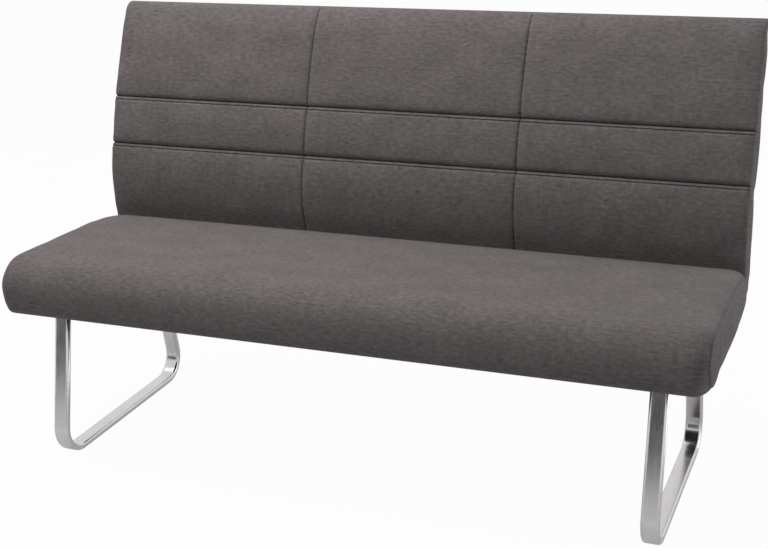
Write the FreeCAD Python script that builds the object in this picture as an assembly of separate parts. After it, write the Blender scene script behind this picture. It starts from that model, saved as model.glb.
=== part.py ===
import FreeCAD, Part
import math
import os

# Upholstered dining bench with a back, on two sled legs of flat steel tube.
# Millimetres, X along the bench, Y from the front to the back, Z up from the floor.
# The origin is on the floor, under the middle of the bench's box.
# Inside the functions "v" is the distance behind the front of the seat's nose.

# Legs and glides
leg_inset = 101.0             # end of the seat to the middle plane of a leg loop
leg_height = 361.0            # underside of the runner to the underside of the bracket
leg_lean = 0.20               # how far a leg leans inwards for each mm that it rises
loop_length = 534.0           # between the corners of the runner's centre line
loop_setback = 29.5           # front corner of the loop behind the seat's nose
tube_width = 38.0
tube_depth = 15.0
tube_wall = 2.0
tube_edge_radius = 6.0
bend_radius = 58.0            # of the tube's centre line
glide_height = 3.0
glide_length = 40.0
glide_width = 22.0
glide_inset = 95.0            # from the loop's corner to the middle of the glide
glide_peg_diameter = 6.0
glide_peg_length = 6.0

# Seat cushion
seat_width = 1550.0
seat_depth = 502.0            # front of the nose to the rear face
seat_thickness = 109.0        # underside of the frame to the top of the nose
seat_slope_drop = 9.5         # fall of the top from the nose to where its rear rounding starts
seat_rear_drop = 23.0         # further fall from there to the rear face
seat_rear_run = 162.0         # length of that rounding
seat_rear_bow = 4.5           # rise of that rounding over its chord
seat_crown = 3.0              # rise of the middle over the two ends
seat_end_radius = 30.0        # rounding from the top down to the end seam
seat_end_turn = 60.0          # degrees of that rounding before the end panel is sewn on
nose_depth = 70.0
nose_flat = 26.0              # upright stretch between the nose and the lip
lip_radius = 30.0             # lower front edge
lip_drop = 16.0               # the front roll hangs this much below the frame
lip_flat = 30.0
lip_return = 25.0             # slope from the lip up to the underside
front_draw = 0.40             # share of the end rounding that draws the front face in
nose_follow = 0.35            # share of the end rounding that lowers the nose

# Seat frame, springs and padding
rail_width = 45.0
rail_height = 30.0
front_padding = 50.0          # nose to the front rail
rear_padding = 12.0           # rear rail to the rear face
end_padding = 20.0            # end rail to the end panel
dowel_diameter = 8.0
dowel_length = 40.0
dowel_spacing = 22.0
dowel_clearance = 0.1
spring_count = 5              # on each side of the middle cross rail
spring_bars = 17
spring_bar_length = 34.0
spring_wire = 3.5
clip_metal = 1.2
clip_length = 20.0
clip_width = 24.0
pad_thickness = 3.0
dust_cover_thickness = 1.0
fabric = 2.0                  # thickness of every cover
soft_clearance = 0.3          # between soft pieces and their neighbours

# Back cushion
back_end_setback = 1.0        # end of the back inside the end of the seat
back_columns = 3
back_thickness = 65.0
back_gap = 0.5                # between the seat's rear face and the back
back_rise = 6.0               # lower edge of the back above the underside of the seat frame
back_upright = 157.0          # straight stretch before the back leans
back_bend_radius = 235.0      # of the rear face
back_lean = 16.0              # degrees
back_upper_run = 343.0        # straight stretch of the leaning part
back_top_radius = 21.0
back_top_pitch = 14.0         # degrees between the front face and the rear face at the top
back_end_radius = 16.0
back_end_turn = 50.0          # degrees of that rounding before the side panel is sewn on
lower_seam = 230.0            # along the rear face from the lower edge
upper_seam = 345.0
seam_band = 9.0               # between the two stitch lines of a cross seam
pillow_start = 104.0          # where the lowest row begins to swell
lower_swell = 6.0
middle_swell = 4.5
upper_swell = 7.5
column_dent = 3.0             # depth of the upright seams
column_lead = 26.0            # reach of that dent to each side
panel_thickness = 12.0        # bent plywood
panel_rise = 1.0              # plywood above the bend of the brackets
panel_top_margin = 45.0       # plywood below the middle of the top rounding
panel_end_margin = 4.0        # plywood short of the side panels
rear_padding_thickness = 10.0  # wadding behind the brackets

# Brackets and fasteners
bracket_width = 40.0
bracket_thickness = 8.0
bracket_bend_radius = 12.0    # inside the bend
bracket_overhang = 6.0        # bracket in front of the front leg
bracket_reach = 470.0         # end of the bracket along the rear face
bracket_slot_clearance = 1.0
seat_bolt_diameter = 8.0
seat_bolt_head_diameter = 14.0
seat_bolt_head_height = 4.4
seat_bolt_margin = 55.0       # from the ends of a cross rail
seat_bolt_count = 3
washer_diameter = 16.0
washer_thickness = 1.6
back_bolt_diameter = 6.0
back_bolt_head_diameter = 10.5
back_bolt_head_height = 3.3
back_bolt_first = 60.0        # along the rear face from the lower edge
back_bolt_second = 290.0
back_bolt_end_margin = 50.0   # last bolt below the end of the bracket
back_bolt_pocket = 1.5        # room round a bolt head in the wadding
bolt_clearance = 0.5          # in drilled holes, on the radius
thread_clearance = 0.1        # between a bolt and its tee nut, on the radius
nut_flange_growth = 6.0       # tee nut flange beyond the bolt, on the radius
nut_flange_thickness = 1.5
nut_barrel_wall = 1.2
nut_barrel_length = 9.0
bolt_tip_gap = 1.0            # bolt tip below the tee nut's flange

# Sampling of the lofted cushions, and tolerances of the construction
seat_stations = 4             # between the middle and the end rounding
round_stations = 5            # over an end rounding
column_steps = [-1.0, -0.5, 0.0, 0.5, 1.0]   # of the reach of an upright seam's dent
cut_margin = 1.0              # how far a cutting tool runs past a face
join_tolerance = 1e-6

# Heights
runner_middle = glide_height + tube_depth / 2
bracket_bottom = glide_height + leg_height
bracket_top = bracket_bottom + bracket_thickness
frame_bottom = bracket_top + dust_cover_thickness
frame_top = frame_bottom + rail_height
wire_middle = frame_top + clip_metal + soft_clearance + spring_wire / 2
clip_top = wire_middle + spring_wire / 2 + soft_clearance + clip_metal
pad_bottom = clip_top + soft_clearance
pad_top = pad_bottom + pad_thickness
foam_bottom = pad_top + soft_clearance
seat_top = frame_bottom + seat_thickness
lip_bottom = frame_bottom - lip_drop
back_bottom = frame_bottom + back_rise
bracket_bend_top = bracket_top + bracket_bend_radius

# Depths behind the nose
back_front = seat_depth + back_gap
back_rear = back_front + back_thickness
bracket_outer_layer = fabric + rear_padding_thickness
bracket_inner_layer = bracket_outer_layer + bracket_thickness
panel_inner_layer = bracket_inner_layer + panel_thickness
front_rail_front = front_padding
front_rail_rear = front_rail_front + rail_width
rear_rail_rear = seat_depth - rear_padding
rear_rail_front = rear_rail_rear - rail_width
lip_end = lip_radius + lip_flat
underside_start = lip_end + lip_return
front_leg_top = loop_setback + leg_lean * (bracket_bottom - runner_middle)
bracket_front = front_leg_top - tube_depth / 2 - bracket_overhang

# Half lengths along the bench
seat_end = seat_width / 2 - fabric
seat_round_start = seat_end - seat_end_radius * math.sin(math.radians(seat_end_turn))
back_half = seat_width / 2 - back_end_setback
back_end = back_half - fabric
back_round_start = back_end - back_end_radius * math.sin(math.radians(back_end_turn))
column_seam = back_half / back_columns
end_rail_outer = seat_end - end_padding
end_rail_inner = end_rail_outer - rail_width
leg_middle = seat_width / 2 - leg_inset
bracket_middles = {"left": -leg_middle, "centre": 0.0, "right": leg_middle}

# The leaning part of the back's rear face
lean = math.radians(back_lean)
bend_length = back_bend_radius * lean
lean_start = back_upright + bend_length
top_run = lean_start + back_upper_run
panel_top = top_run - panel_top_margin
back_bolt_places = [back_bolt_first, back_bolt_second, bracket_reach - back_bolt_end_margin]
quarter_arc_rise = math.sqrt(2.0) - 1.0   # of a quarter arc's middle, from its chord to its corner


def back_frame(run):
    """Point (v, z) on the rear face of the back at a run from its lower edge, and the angle of lean."""
    bend_height = back_bottom + back_upright
    if run <= back_upright:
        return (back_rear, back_bottom + run, 0.0)
    centre = back_rear + back_bend_radius
    turn = min((run - back_upright) / back_bend_radius, lean)
    v = centre - back_bend_radius * math.cos(turn)
    z = bend_height + back_bend_radius * math.sin(turn)
    rest = max(0.0, run - lean_start)
    return (v + rest * math.sin(turn), z + rest * math.cos(turn), turn)


def back_point(run, depth):
    """Point (v, z) at a run along the rear face of the back and a depth towards the front."""
    v, z, turn = back_frame(run)
    return (v - depth * math.cos(turn), z + depth * math.sin(turn))


top_centre = back_point(top_run, back_top_radius)
overall_depth = top_centre[0] + back_top_radius
depth_middle = overall_depth / 2


def place(x, v, z):
    """Point of the bench's frame for a distance v behind the nose."""
    return FreeCAD.Vector(x, v - depth_middle, z)


def box(x0, x1, v0, v1, z0, z1):
    """Box between two corners."""
    return Part.makeBox(x1 - x0, v1 - v0, z1 - z0, place(x0, v0, z0))


def upright_rod(x, v, z0, z1, diameter):
    """Round rod that stands between two heights."""
    return Part.makeCylinder(diameter / 2, z1 - z0, place(x, v, z0))


def middle_point(first, last):
    """Point half way between two (v, z) points."""
    return ((first[0] + last[0]) / 2, (first[1] + last[1]) / 2)


def corner_arc(first, corner, last):
    """Arc segment that rounds a corner between two points, as a quarter of a circle or an oval does."""
    chord = middle_point(first, last)
    v = chord[0] + quarter_arc_rise * (corner[0] - chord[0])
    z = chord[1] + quarter_arc_rise * (corner[1] - chord[1])
    return (first, (v, z), last)


def segment_edge(x, segment):
    """Line for a segment of two (v, z) points, arc for one of three."""
    points = [place(x, v, z) for v, z in segment]
    if len(points) == 2:
        return Part.LineSegment(points[0], points[1]).toShape()
    return Part.Arc(points[0], points[1], points[2]).toShape()


def ring(x, segments):
    """Closed wire at one station: segments in order, with lines across the gaps between them."""
    edges = []
    for index, segment in enumerate(segments):
        edges.append(segment_edge(x, segment))
        start = segments[(index + 1) % len(segments)][0]
        if math.dist(segment[-1], start) > join_tolerance:
            edges.append(segment_edge(x, (segment[-1], start)))
    return Part.Wire(edges)


def backwards(segments):
    """The same segments, run the other way."""
    return [tuple(reversed(segment)) for segment in reversed(segments)]


def loft(stations, section):
    """Ruled solid through the sections at all stations along the bench."""
    return Part.makeLoft([ring(x, section(x)) for x in stations], True, True)


def plate(x, thickness, segments):
    """Flat piece with the outline of the segments, thickened along the bench."""
    return Part.Face(ring(x, segments)).extrude(FreeCAD.Vector(thickness, 0, 0))


def slab(half_width, middle, segments):
    """Outline extruded to both sides of a middle plane along the bench."""
    return plate(middle - half_width, 2 * half_width, segments)


def end_inset(x, start, radius, inset):
    """How far a cushion's end rounding has fallen at x, inset included."""
    run = max(0.0, abs(x) - start)
    return radius - math.sqrt((radius - inset) ** 2 - run ** 2)


def mirrored(half):
    """Stations on both sides of the middle from those of the right half."""
    return sorted({-x for x in half} | set(half))


def round_ends(start, end, turn):
    """Stations over an end rounding, at even angles."""
    full = math.sin(math.radians(turn))
    steps = range(1, round_stations + 1)
    return [start + (end - start) * math.sin(math.radians(turn * i / round_stations)) / full for i in steps]


def seat_places(end):
    """Stations of the seat cushion out to its end."""
    half = [seat_round_start * i / seat_stations for i in range(seat_stations + 1)]
    return mirrored(half + round_ends(seat_round_start, end, seat_end_turn))


def seat_profile(x, inset):
    """Outline of the seat at one station, from the foot of the rear face over the top to the underside."""
    fall = end_inset(x, seat_round_start, seat_end_radius, inset)
    drop = seat_crown * (x / seat_end) ** 2 + fall
    outer_fall = end_inset(x, seat_round_start, seat_end_radius, 0.0)
    outer_drop = seat_crown * (x / seat_end) ** 2 + outer_fall
    follow = nose_follow * outer_drop
    front = front_draw * (fall - inset) + inset
    rear = seat_depth - inset
    rear_foot = (rear, frame_bottom)
    rear_top = (rear, seat_top - seat_slope_drop - seat_rear_drop - drop)
    top_bend = (seat_depth - seat_rear_run, seat_top - seat_slope_drop - drop)
    nose_top = (nose_depth, seat_top - drop)
    nose_foot = (front, lip_bottom + lip_radius + nose_flat - follow)
    lip_top = (front, lip_bottom + lip_radius - follow)
    lip_foot = (lip_radius, lip_bottom + inset)
    slope = math.hypot(lip_return, lip_drop)
    lip_heel = (lip_end - inset * (slope - lip_return) / lip_drop, lip_bottom + inset)
    underside = (underside_start - inset * slope / lip_drop, frame_bottom)
    rear_chord = middle_point(rear_top, top_bend)
    return [
        (rear_foot, rear_top),
        (rear_top, (rear_chord[0], rear_chord[1] + seat_rear_bow), top_bend),
        (top_bend, nose_top),
        corner_arc(nose_top, (front, nose_top[1]), nose_foot),
        (nose_foot, lip_top),
        corner_arc(lip_top, (front, lip_foot[1]), lip_foot),
        (lip_foot, lip_heel),
        (lip_heel, underside),
    ]


def back_places(end):
    """Stations of the back cushion out to its end, closer together at the upright seams."""
    half = [column_seam + column_lead * step for step in column_steps]
    half.append(back_round_start)
    return mirrored(half + round_ends(back_round_start, end, back_end_turn))


def column_inset(x):
    """Depth of the upright seam's dent at x."""
    reach = max(0.0, 1.0 - abs(abs(x) - column_seam) / column_lead)
    return column_dent * reach ** 2


def back_front_profile(x, inset, bottom):
    """Front of the back at one station, from a run above its lower edge up to the top of its rounding."""
    fall = end_inset(x, back_round_start, back_end_radius, inset)
    dent = column_inset(x)
    top_radius = back_top_radius - fall
    pitch = math.radians(back_top_pitch)
    shoulder_run = top_run - top_radius * math.sin(pitch)
    shoulder_depth = back_top_radius + top_radius * math.cos(pitch)
    lines = [
        (bottom, back_thickness),
        (pillow_start, back_thickness),
        (lower_seam - seam_band / 2, back_thickness),
        (lower_seam + seam_band / 2, back_thickness),
        (upper_seam - seam_band / 2, back_thickness),
        (upper_seam + seam_band / 2, back_thickness),
        (shoulder_run, shoulder_depth + fall),
    ]
    swells = [0.0, lower_swell, 0.0, middle_swell, 0.0, upper_swell]
    segments = []
    for first, last, swell in zip(lines[:-1], lines[1:], swells):
        start = back_point(first[0], first[1] - fall - dent)
        end = back_point(last[0], last[1] - fall - dent)
        half_run, half_depth = middle_point(first, last)
        crest = back_point(half_run, half_depth + swell - fall - dent)
        segments.append((start, crest, end) if swell else (start, end))
    apex = back_point(top_run + top_radius, back_top_radius)
    turn = (math.pi / 2 + pitch) / 2
    crest_run = shoulder_run + top_radius * (math.sin(pitch) + math.sin(turn - pitch))
    crest_depth = back_top_radius + top_radius * math.cos(turn - pitch)
    segments.append((segments[-1][-1], back_point(crest_run, crest_depth), apex))
    return segments


def back_top_rear(x, inset):
    """Rear half of the top rounding at one station, from its top down to the rear face."""
    fall = end_inset(x, back_round_start, back_end_radius, inset)
    top_radius = back_top_radius - fall
    apex = back_point(top_run + top_radius, back_top_radius)
    crest = back_point(top_run + top_radius * math.sqrt(0.5), back_top_radius - top_radius * math.sqrt(0.5))
    return [(apex, crest, back_point(top_run, fall))]


def back_layer(depth, bottom, top):
    """Line that follows the rear face at a depth inside it, from one run up to another."""
    half_turn = back_upright + bend_length / 2
    segments = [(back_point(bottom, depth), back_point(back_upright, depth))]
    segments.append((segments[-1][-1], back_point(half_turn, depth), back_point(lean_start, depth)))
    segments.append((segments[-1][-1], back_point(top, depth)))
    return segments


def end_fall(x, inset):
    """Depth of the rear face's rounding at one station of the back."""
    return end_inset(x, back_round_start, back_end_radius, inset)


def rounded_path(points, radius):
    """Edges through (v, z) points at x = 0, with an arc of one radius at each inner point."""
    corners = [place(0, v, z) for v, z in points]
    edges = []
    start = corners[0]
    for before, corner, after in zip(corners[:-2], corners[1:-1], corners[2:]):
        into = (before - corner).normalize()
        out = (after - corner).normalize()
        half = into.getAngle(out) / 2
        reach = radius / math.tan(half)
        inward = (into + out).normalize()
        middle = corner + inward * (radius / math.sin(half) - radius)
        edges.append(Part.LineSegment(start, corner + into * reach).toShape())
        start = corner + out * reach
        edges.append(Part.Arc(corner + into * reach, middle, start).toShape())
    edges.append(Part.LineSegment(start, corners[-1]).toShape())
    return Part.Wire(edges)


def tube_section(origin, along, inset):
    """Rounded rectangle of the leg tube across a direction, smaller by an inset all round."""
    half_width = tube_width / 2 - inset
    half_depth = tube_depth / 2 - inset
    radius = tube_edge_radius - inset
    across = FreeCAD.Vector(1, 0, 0)
    normal = along.cross(across)
    flat = radius * (1 - math.sqrt(0.5))

    def spot(width, depth):
        return origin + across * width + normal * depth

    edges = []
    for side, face in [(1, 1), (-1, 1), (-1, -1), (1, -1)]:
        outer = spot(side * half_width, face * (half_depth - radius))
        inner = spot(side * (half_width - radius), face * half_depth)
        bend = spot(side * (half_width - flat), face * (half_depth - flat))
        first, last = (outer, inner) if side == face else (inner, outer)
        if edges:
            edges.append(Part.LineSegment(edges[-1].Vertexes[-1].Point, first).toShape())
        edges.append(Part.Arc(first, bend, last).toShape())
    edges.append(Part.LineSegment(edges[-1].Vertexes[-1].Point, edges[0].Vertexes[0].Point).toShape())
    return Part.Wire(edges)


def glide_places():
    """Distances behind the nose of the front and rear glide middles."""
    return {"front": loop_setback + glide_inset, "rear": loop_setback + loop_length - glide_inset}


def leg_loop(middle):
    """One bent tube: front leg, floor runner and rear leg, cut level under the bracket."""
    spare = tube_depth
    rise = bracket_bottom + spare - runner_middle
    rear_corner = loop_setback + loop_length
    points = [
        (loop_setback + leg_lean * rise, bracket_bottom + spare),
        (loop_setback, runner_middle),
        (rear_corner, runner_middle),
        (rear_corner - leg_lean * rise, bracket_bottom + spare),
    ]
    path = rounded_path(points, bend_radius)
    start = place(0, *points[0])
    along = (place(0, *points[1]) - start).normalize()
    outer = path.makePipe(Part.Face(tube_section(start, along, 0.0)))
    bore = path.makePipe(Part.Face(tube_section(start, along, tube_wall)))
    tube = outer.cut(bore)
    waste = box(-tube_width, tube_width, 0, overall_depth, bracket_bottom, bracket_bottom + 2 * tube_width)
    tube = tube.cut(waste)
    for v in glide_places().values():
        hole = glide_peg_diameter + 2 * soft_clearance
        tube = tube.cut(upright_rod(0, v, 0, runner_middle, hole))
    tube.translate(FreeCAD.Vector(middle, 0, 0))
    return tube


def floor_glide(middle, v):
    """Oval plastic pad with a peg that snaps into the underside of the runner."""
    half = glide_length / 2 - glide_width / 2
    pad = box(middle - glide_width / 2, middle + glide_width / 2, v - half, v + half, 0, glide_height)
    for side in (-half, half):
        pad = pad.fuse(upright_rod(middle, v + side, 0, glide_height, glide_width))
    peg = upright_rod(middle, v, 0, glide_height + glide_peg_length, glide_peg_diameter)
    return pad.fuse(peg).removeSplitter()


def seat_bolt_places():
    """Distances behind the nose of the bolts that hold a bracket to the seat frame."""
    first = front_rail_rear + seat_bolt_margin
    last = rear_rail_front - seat_bolt_margin
    return [first + (last - first) * i / (seat_bolt_count - 1) for i in range(seat_bolt_count)]


def back_rod(x, run, depth0, depth1, diameter):
    """Round rod square to the back at a run along it, between two depths inside its rear face."""
    turn = back_frame(run)[2]
    start = back_point(run, depth0)
    direction = FreeCAD.Vector(0, -math.cos(turn), math.sin(turn))
    return Part.makeCylinder(diameter / 2, depth1 - depth0, place(x, *start), direction)


def bracket_outline(growth):
    """Side view of a bracket: under the seat frame, round the bend and up behind the plywood."""
    outer = bracket_outer_layer - growth
    inner = bracket_inner_layer + growth
    outer_radius = bracket_bend_radius + bracket_thickness + growth
    inner_radius = bracket_bend_radius - growth
    centre = (back_rear - outer - outer_radius, bracket_bottom - growth + outer_radius)
    low = bracket_bottom - growth
    high = bracket_top + growth
    foot = centre[1] - back_bottom

    def bend(radius):
        corner = (centre[0] + radius, centre[1] - radius)
        return corner_arc((centre[0], centre[1] - radius), corner, (centre[0] + radius, centre[1]))

    segments = [((bracket_front, low), (centre[0], low)), bend(outer_radius)]
    segments += back_layer(outer, foot, bracket_reach + growth)
    segments += backwards(back_layer(inner, foot, bracket_reach + growth))
    segments += backwards([bend(inner_radius)])
    segments.append(((centre[0], high), (bracket_front, high)))
    return segments


def back_bracket(middle):
    """Flat steel bar, bolted under the seat frame and behind the plywood of the back."""
    bar = slab(bracket_width / 2, middle, bracket_outline(0.0))
    for v in seat_bolt_places():
        hole = seat_bolt_diameter + 2 * bolt_clearance
        bar = bar.cut(upright_rod(middle, v, bracket_bottom - cut_margin, bracket_top + cut_margin, hole))
    for run in back_bolt_places:
        hole = back_bolt_diameter + 2 * bolt_clearance
        near = bracket_outer_layer - cut_margin
        bar = bar.cut(back_rod(middle, run, near, bracket_inner_layer + cut_margin, hole))
    return bar


def dowel_joints():
    """Middles of all dowels: (x, v) of each joint between a long rail and a rail across."""
    middles = [-(end_rail_outer + end_rail_inner) / 2, (end_rail_outer + end_rail_inner) / 2]
    middles += list(bracket_middles.values())
    joints = []
    for x in middles:
        for v in (front_rail_rear, rear_rail_front):
            joints.append((x - dowel_spacing / 2, v))
            joints.append((x + dowel_spacing / 2, v))
    return joints


def dowel_rods(diameter, length):
    """All dowels of the frame, or their holes."""
    height = (frame_bottom + frame_top) / 2
    back = FreeCAD.Vector(0, 1, 0)
    rods = []
    for x, v in dowel_joints():
        rods.append(Part.makeCylinder(diameter / 2, length, place(x, v - length / 2, height), back))
    return Part.makeCompound(rods)


def long_rail(front):
    """Front or rear rail of the seat frame."""
    rail = box(-end_rail_outer, end_rail_outer, front, front + rail_width, frame_bottom, frame_top)
    return rail.cut(dowel_rods(dowel_diameter + 2 * dowel_clearance, dowel_length + 2 * dowel_clearance))


def short_rail(x):
    """Rail between the front rail and the rear rail, with x in its middle."""
    half = rail_width / 2
    rail = box(x - half, x + half, front_rail_rear, rear_rail_front, frame_bottom, frame_top)
    return rail.cut(dowel_rods(dowel_diameter + 2 * dowel_clearance, dowel_length + 2 * dowel_clearance))


def tee_nut_solids(diameter):
    """Radii of a tee nut for a bolt: bore, barrel and flange."""
    bore = diameter / 2 + thread_clearance
    return (bore, bore + nut_barrel_wall, diameter / 2 + nut_flange_growth)


def cross_rail(middle):
    """Rail over a bracket, bored and sunk for the tee nuts."""
    rail = short_rail(middle)
    barrel = tee_nut_solids(seat_bolt_diameter)[1]
    flange = tee_nut_solids(seat_bolt_diameter)[2]
    for v in seat_bolt_places():
        hole = 2 * (barrel + dowel_clearance)
        sink = 2 * (flange + dowel_clearance)
        rail = rail.cut(upright_rod(middle, v, frame_bottom - cut_margin, frame_top + cut_margin, hole))
        shelf = frame_top - nut_flange_thickness
        rail = rail.cut(upright_rod(middle, v, shelf, frame_top + cut_margin, sink))
    return rail


def seat_tee_nut(middle, v):
    """Tee nut sunk in the top of a cross rail."""
    bore, barrel, flange = tee_nut_solids(seat_bolt_diameter)
    flange_bottom = frame_top - nut_flange_thickness
    nut = upright_rod(middle, v, flange_bottom, frame_top, 2 * flange)
    nut = nut.fuse(upright_rod(middle, v, flange_bottom - nut_barrel_length, frame_top, 2 * barrel))
    return nut.cut(upright_rod(middle, v, frame_bottom, frame_top + cut_margin, 2 * bore))


def seat_bolt(middle, v):
    """Bolt from below through washer, bracket, dust cover and rail into the tee nut."""
    seat = bracket_bottom - washer_thickness
    head = upright_rod(middle, v, seat - seat_bolt_head_height, seat, seat_bolt_head_diameter)
    tip = frame_top - nut_flange_thickness - bolt_tip_gap
    return head.fuse(upright_rod(middle, v, seat, tip, seat_bolt_diameter))


def seat_washer(middle, v):
    """Washer between the bolt's head and the bracket."""
    disc = upright_rod(middle, v, bracket_bottom - washer_thickness, bracket_bottom, washer_diameter)
    bore = seat_bolt_diameter + 2 * thread_clearance
    low = bracket_bottom - washer_thickness - cut_margin
    return disc.cut(upright_rod(middle, v, low, bracket_bottom + cut_margin, bore))


def back_bolt(middle, run):
    """Bolt from behind through bracket and plywood into a tee nut."""
    under_head = bracket_outer_layer
    head = back_rod(middle, run, under_head - back_bolt_head_height, under_head, back_bolt_head_diameter)
    tip = panel_inner_layer - nut_flange_thickness - bolt_tip_gap
    return head.fuse(back_rod(middle, run, under_head, tip, back_bolt_diameter))


def back_tee_nut(middle, run):
    """Tee nut sunk in the front of the plywood."""
    bore, barrel, flange = tee_nut_solids(back_bolt_diameter)
    flange_back = panel_inner_layer - nut_flange_thickness
    nut = back_rod(middle, run, flange_back, panel_inner_layer, 2 * flange)
    nut = nut.fuse(back_rod(middle, run, flange_back - nut_barrel_length, panel_inner_layer, 2 * barrel))
    return nut.cut(back_rod(middle, run, bracket_inner_layer, panel_inner_layer + cut_margin, 2 * bore))


def spring_middles():
    """Places along the bench of the zigzag springs, between the cross rails."""
    clear = leg_middle - rail_width
    half = [rail_width / 2 + clear * (i + 0.5) / spring_count for i in range(spring_count)]
    return mirrored(half)


def spring_ends():
    """Distances behind the nose of a spring's first and last bar, in the middle of the long rails."""
    return (front_rail_front + rail_width / 2, rear_rail_front + rail_width / 2)


def zigzag_spring(middle):
    """One unbroken wire: straight bars across, joined by half turns."""
    first, last = spring_ends()
    pitch = (last - first) / (spring_bars - 1)
    half = spring_bar_length / 2 - pitch / 2
    edges = []
    for i in range(spring_bars):
        side = 1 if i % 2 == 0 else -1
        v = first + pitch * i
        start = place(middle - side * half, v, wire_middle)
        end = place(middle + side * half, v, wire_middle)
        edges.append(Part.LineSegment(start, end).toShape())
        if i < spring_bars - 1:
            crest = place(middle + side * (half + pitch / 2), v + pitch / 2, wire_middle)
            turned = place(middle + side * half, v + pitch, wire_middle)
            edges.append(Part.Arc(end, crest, turned).toShape())
    path = Part.Wire(edges)
    start = edges[0].Vertexes[0].Point
    section = Part.Wire(Part.Circle(start, FreeCAD.Vector(1, 0, 0), spring_wire / 2).toShape())
    return path.makePipeShell([section], True)


def spring_clip(middle, v, side):
    """Folded clip, screwed down on a rail, that holds a spring's last bar; side is +1 on the rear rail."""
    half = clip_width / 2
    heel = v + side * (spring_wire / 2 + soft_clearance + clip_metal)
    toe = heel - side * clip_length
    low, high = min(heel, toe), max(heel, toe)
    strip = box(middle - half, middle + half, low, high, frame_top, clip_top)
    mouth_heel = heel - side * clip_metal
    mouth_toe = toe - side * cut_margin
    low, high = min(mouth_heel, mouth_toe), max(mouth_heel, mouth_toe)
    half += cut_margin
    inside = box(middle - half, middle + half, low, high, frame_top + clip_metal, clip_top - clip_metal)
    return strip.cut(inside)


def seat_foam():
    """Foam block with the nose, lip and crown of the seat, hollow below for frame and springs."""
    inset = fabric + soft_clearance
    block = loft(seat_places(seat_end - soft_clearance), lambda x: seat_profile(x, inset))
    half = end_rail_outer + soft_clearance
    front = front_rail_front - soft_clearance
    rear = rear_rail_rear + soft_clearance
    return block.cut(box(-half, half, front, rear, frame_bottom, foam_bottom))


def seat_cover():
    """Main cover: rear, top, nose, front and lip in one piece, open below and at the ends."""
    return loft(seat_places(seat_end), lambda x: seat_profile(x, 0.0) + backwards(seat_profile(x, fabric)))


def seat_end_panel(side):
    """Fabric panel sewn on one end of the seat."""
    return plate(side * seat_end, side * fabric, seat_profile(seat_end, 0.0))


def dust_cover():
    """Thin cloth under the seat frame, holed for the bracket bolts."""
    sheet = box(-seat_end, seat_end, underside_start, seat_depth, bracket_top, frame_bottom)
    hole = seat_bolt_diameter + 2 * bolt_clearance
    low = bracket_top - cut_margin
    high = frame_bottom + cut_margin
    for middle in bracket_middles.values():
        for v in seat_bolt_places():
            sheet = sheet.cut(upright_rod(middle, v, low, high, hole))
    return sheet


def back_panel():
    """Bent plywood, bored and sunk for the tee nuts."""
    bottom = bracket_bend_top + panel_rise - back_bottom
    outline = back_layer(bracket_inner_layer, bottom, panel_top)
    outline += backwards(back_layer(panel_inner_layer, bottom, panel_top))
    board = slab(back_end - panel_end_margin, 0.0, outline)
    barrel = tee_nut_solids(back_bolt_diameter)[1] + dowel_clearance
    flange = tee_nut_solids(back_bolt_diameter)[2] + dowel_clearance
    sunk = panel_inner_layer - nut_flange_thickness
    for middle in bracket_middles.values():
        for run in back_bolt_places:
            near = bracket_inner_layer - cut_margin
            far = panel_inner_layer + cut_margin
            board = board.cut(back_rod(middle, run, near, far, 2 * barrel))
            board = board.cut(back_rod(middle, run, sunk, far, 2 * flange))
    return board


def back_foam():
    """Front foam with the swell of the rows and columns; it closes over the top of the plywood."""
    inset = fabric + soft_clearance
    bottom = fabric + soft_clearance
    face = panel_inner_layer + soft_clearance
    step = panel_top + soft_clearance

    def section(x):
        segments = back_front_profile(x, inset, bottom) + back_top_rear(x, inset)
        segments.append((segments[-1][-1], back_point(step, end_fall(x, inset))))
        return segments + backwards(back_layer(face, bottom, step))

    return loft(back_places(back_end - soft_clearance), section)


def back_wadding():
    """Rear padding behind the plywood, with grooves for the brackets and pockets for the bolt heads."""
    inset = fabric + soft_clearance
    bottom = fabric + soft_clearance
    face = bracket_inner_layer - soft_clearance

    def section(x):
        rear = back_layer(end_fall(x, inset), bottom, panel_top)
        return rear + backwards(back_layer(face, bottom, panel_top))

    end = back_end - soft_clearance
    stations = mirrored([back_round_start] + round_ends(back_round_start, end, back_end_turn))
    pad = loft(stations, section)
    half = bracket_width / 2 + soft_clearance
    pocket = back_bolt_head_diameter + 2 * back_bolt_pocket
    floor = bracket_outer_layer - back_bolt_head_height - soft_clearance
    for middle in bracket_middles.values():
        pad = pad.cut(slab(half, middle, bracket_outline(soft_clearance)))
        for run in back_bolt_places:
            pad = pad.cut(back_rod(middle, run, floor, bracket_inner_layer, pocket))
    return pad


def back_cover_front():
    """Front cover, sewn in rows and columns, up over the top to the rear seam."""

    def section(x):
        outer = back_front_profile(x, 0.0, 0.0) + back_top_rear(x, 0.0)
        inner = back_front_profile(x, fabric, 0.0) + back_top_rear(x, fabric)
        return outer + backwards(inner)

    return loft(back_places(back_end), section)


def back_cover_rear():
    """Plain rear cover, from the lower edge up to the rear seam."""

    def section(x):
        outer = back_layer(end_fall(x, 0.0), 0.0, top_run)
        return outer + backwards(back_layer(end_fall(x, fabric), 0.0, top_run))

    stations = mirrored([back_round_start] + round_ends(back_round_start, back_end, back_end_turn))
    return loft(stations, section)


def back_side_panel(side):
    """Fabric panel sewn on one end of the back."""
    outline = back_front_profile(back_end, 0.0, 0.0) + back_top_rear(back_end, 0.0)
    outline += backwards(back_layer(end_fall(back_end, 0.0), 0.0, top_run))
    return plate(side * back_end, side * fabric, outline)


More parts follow.
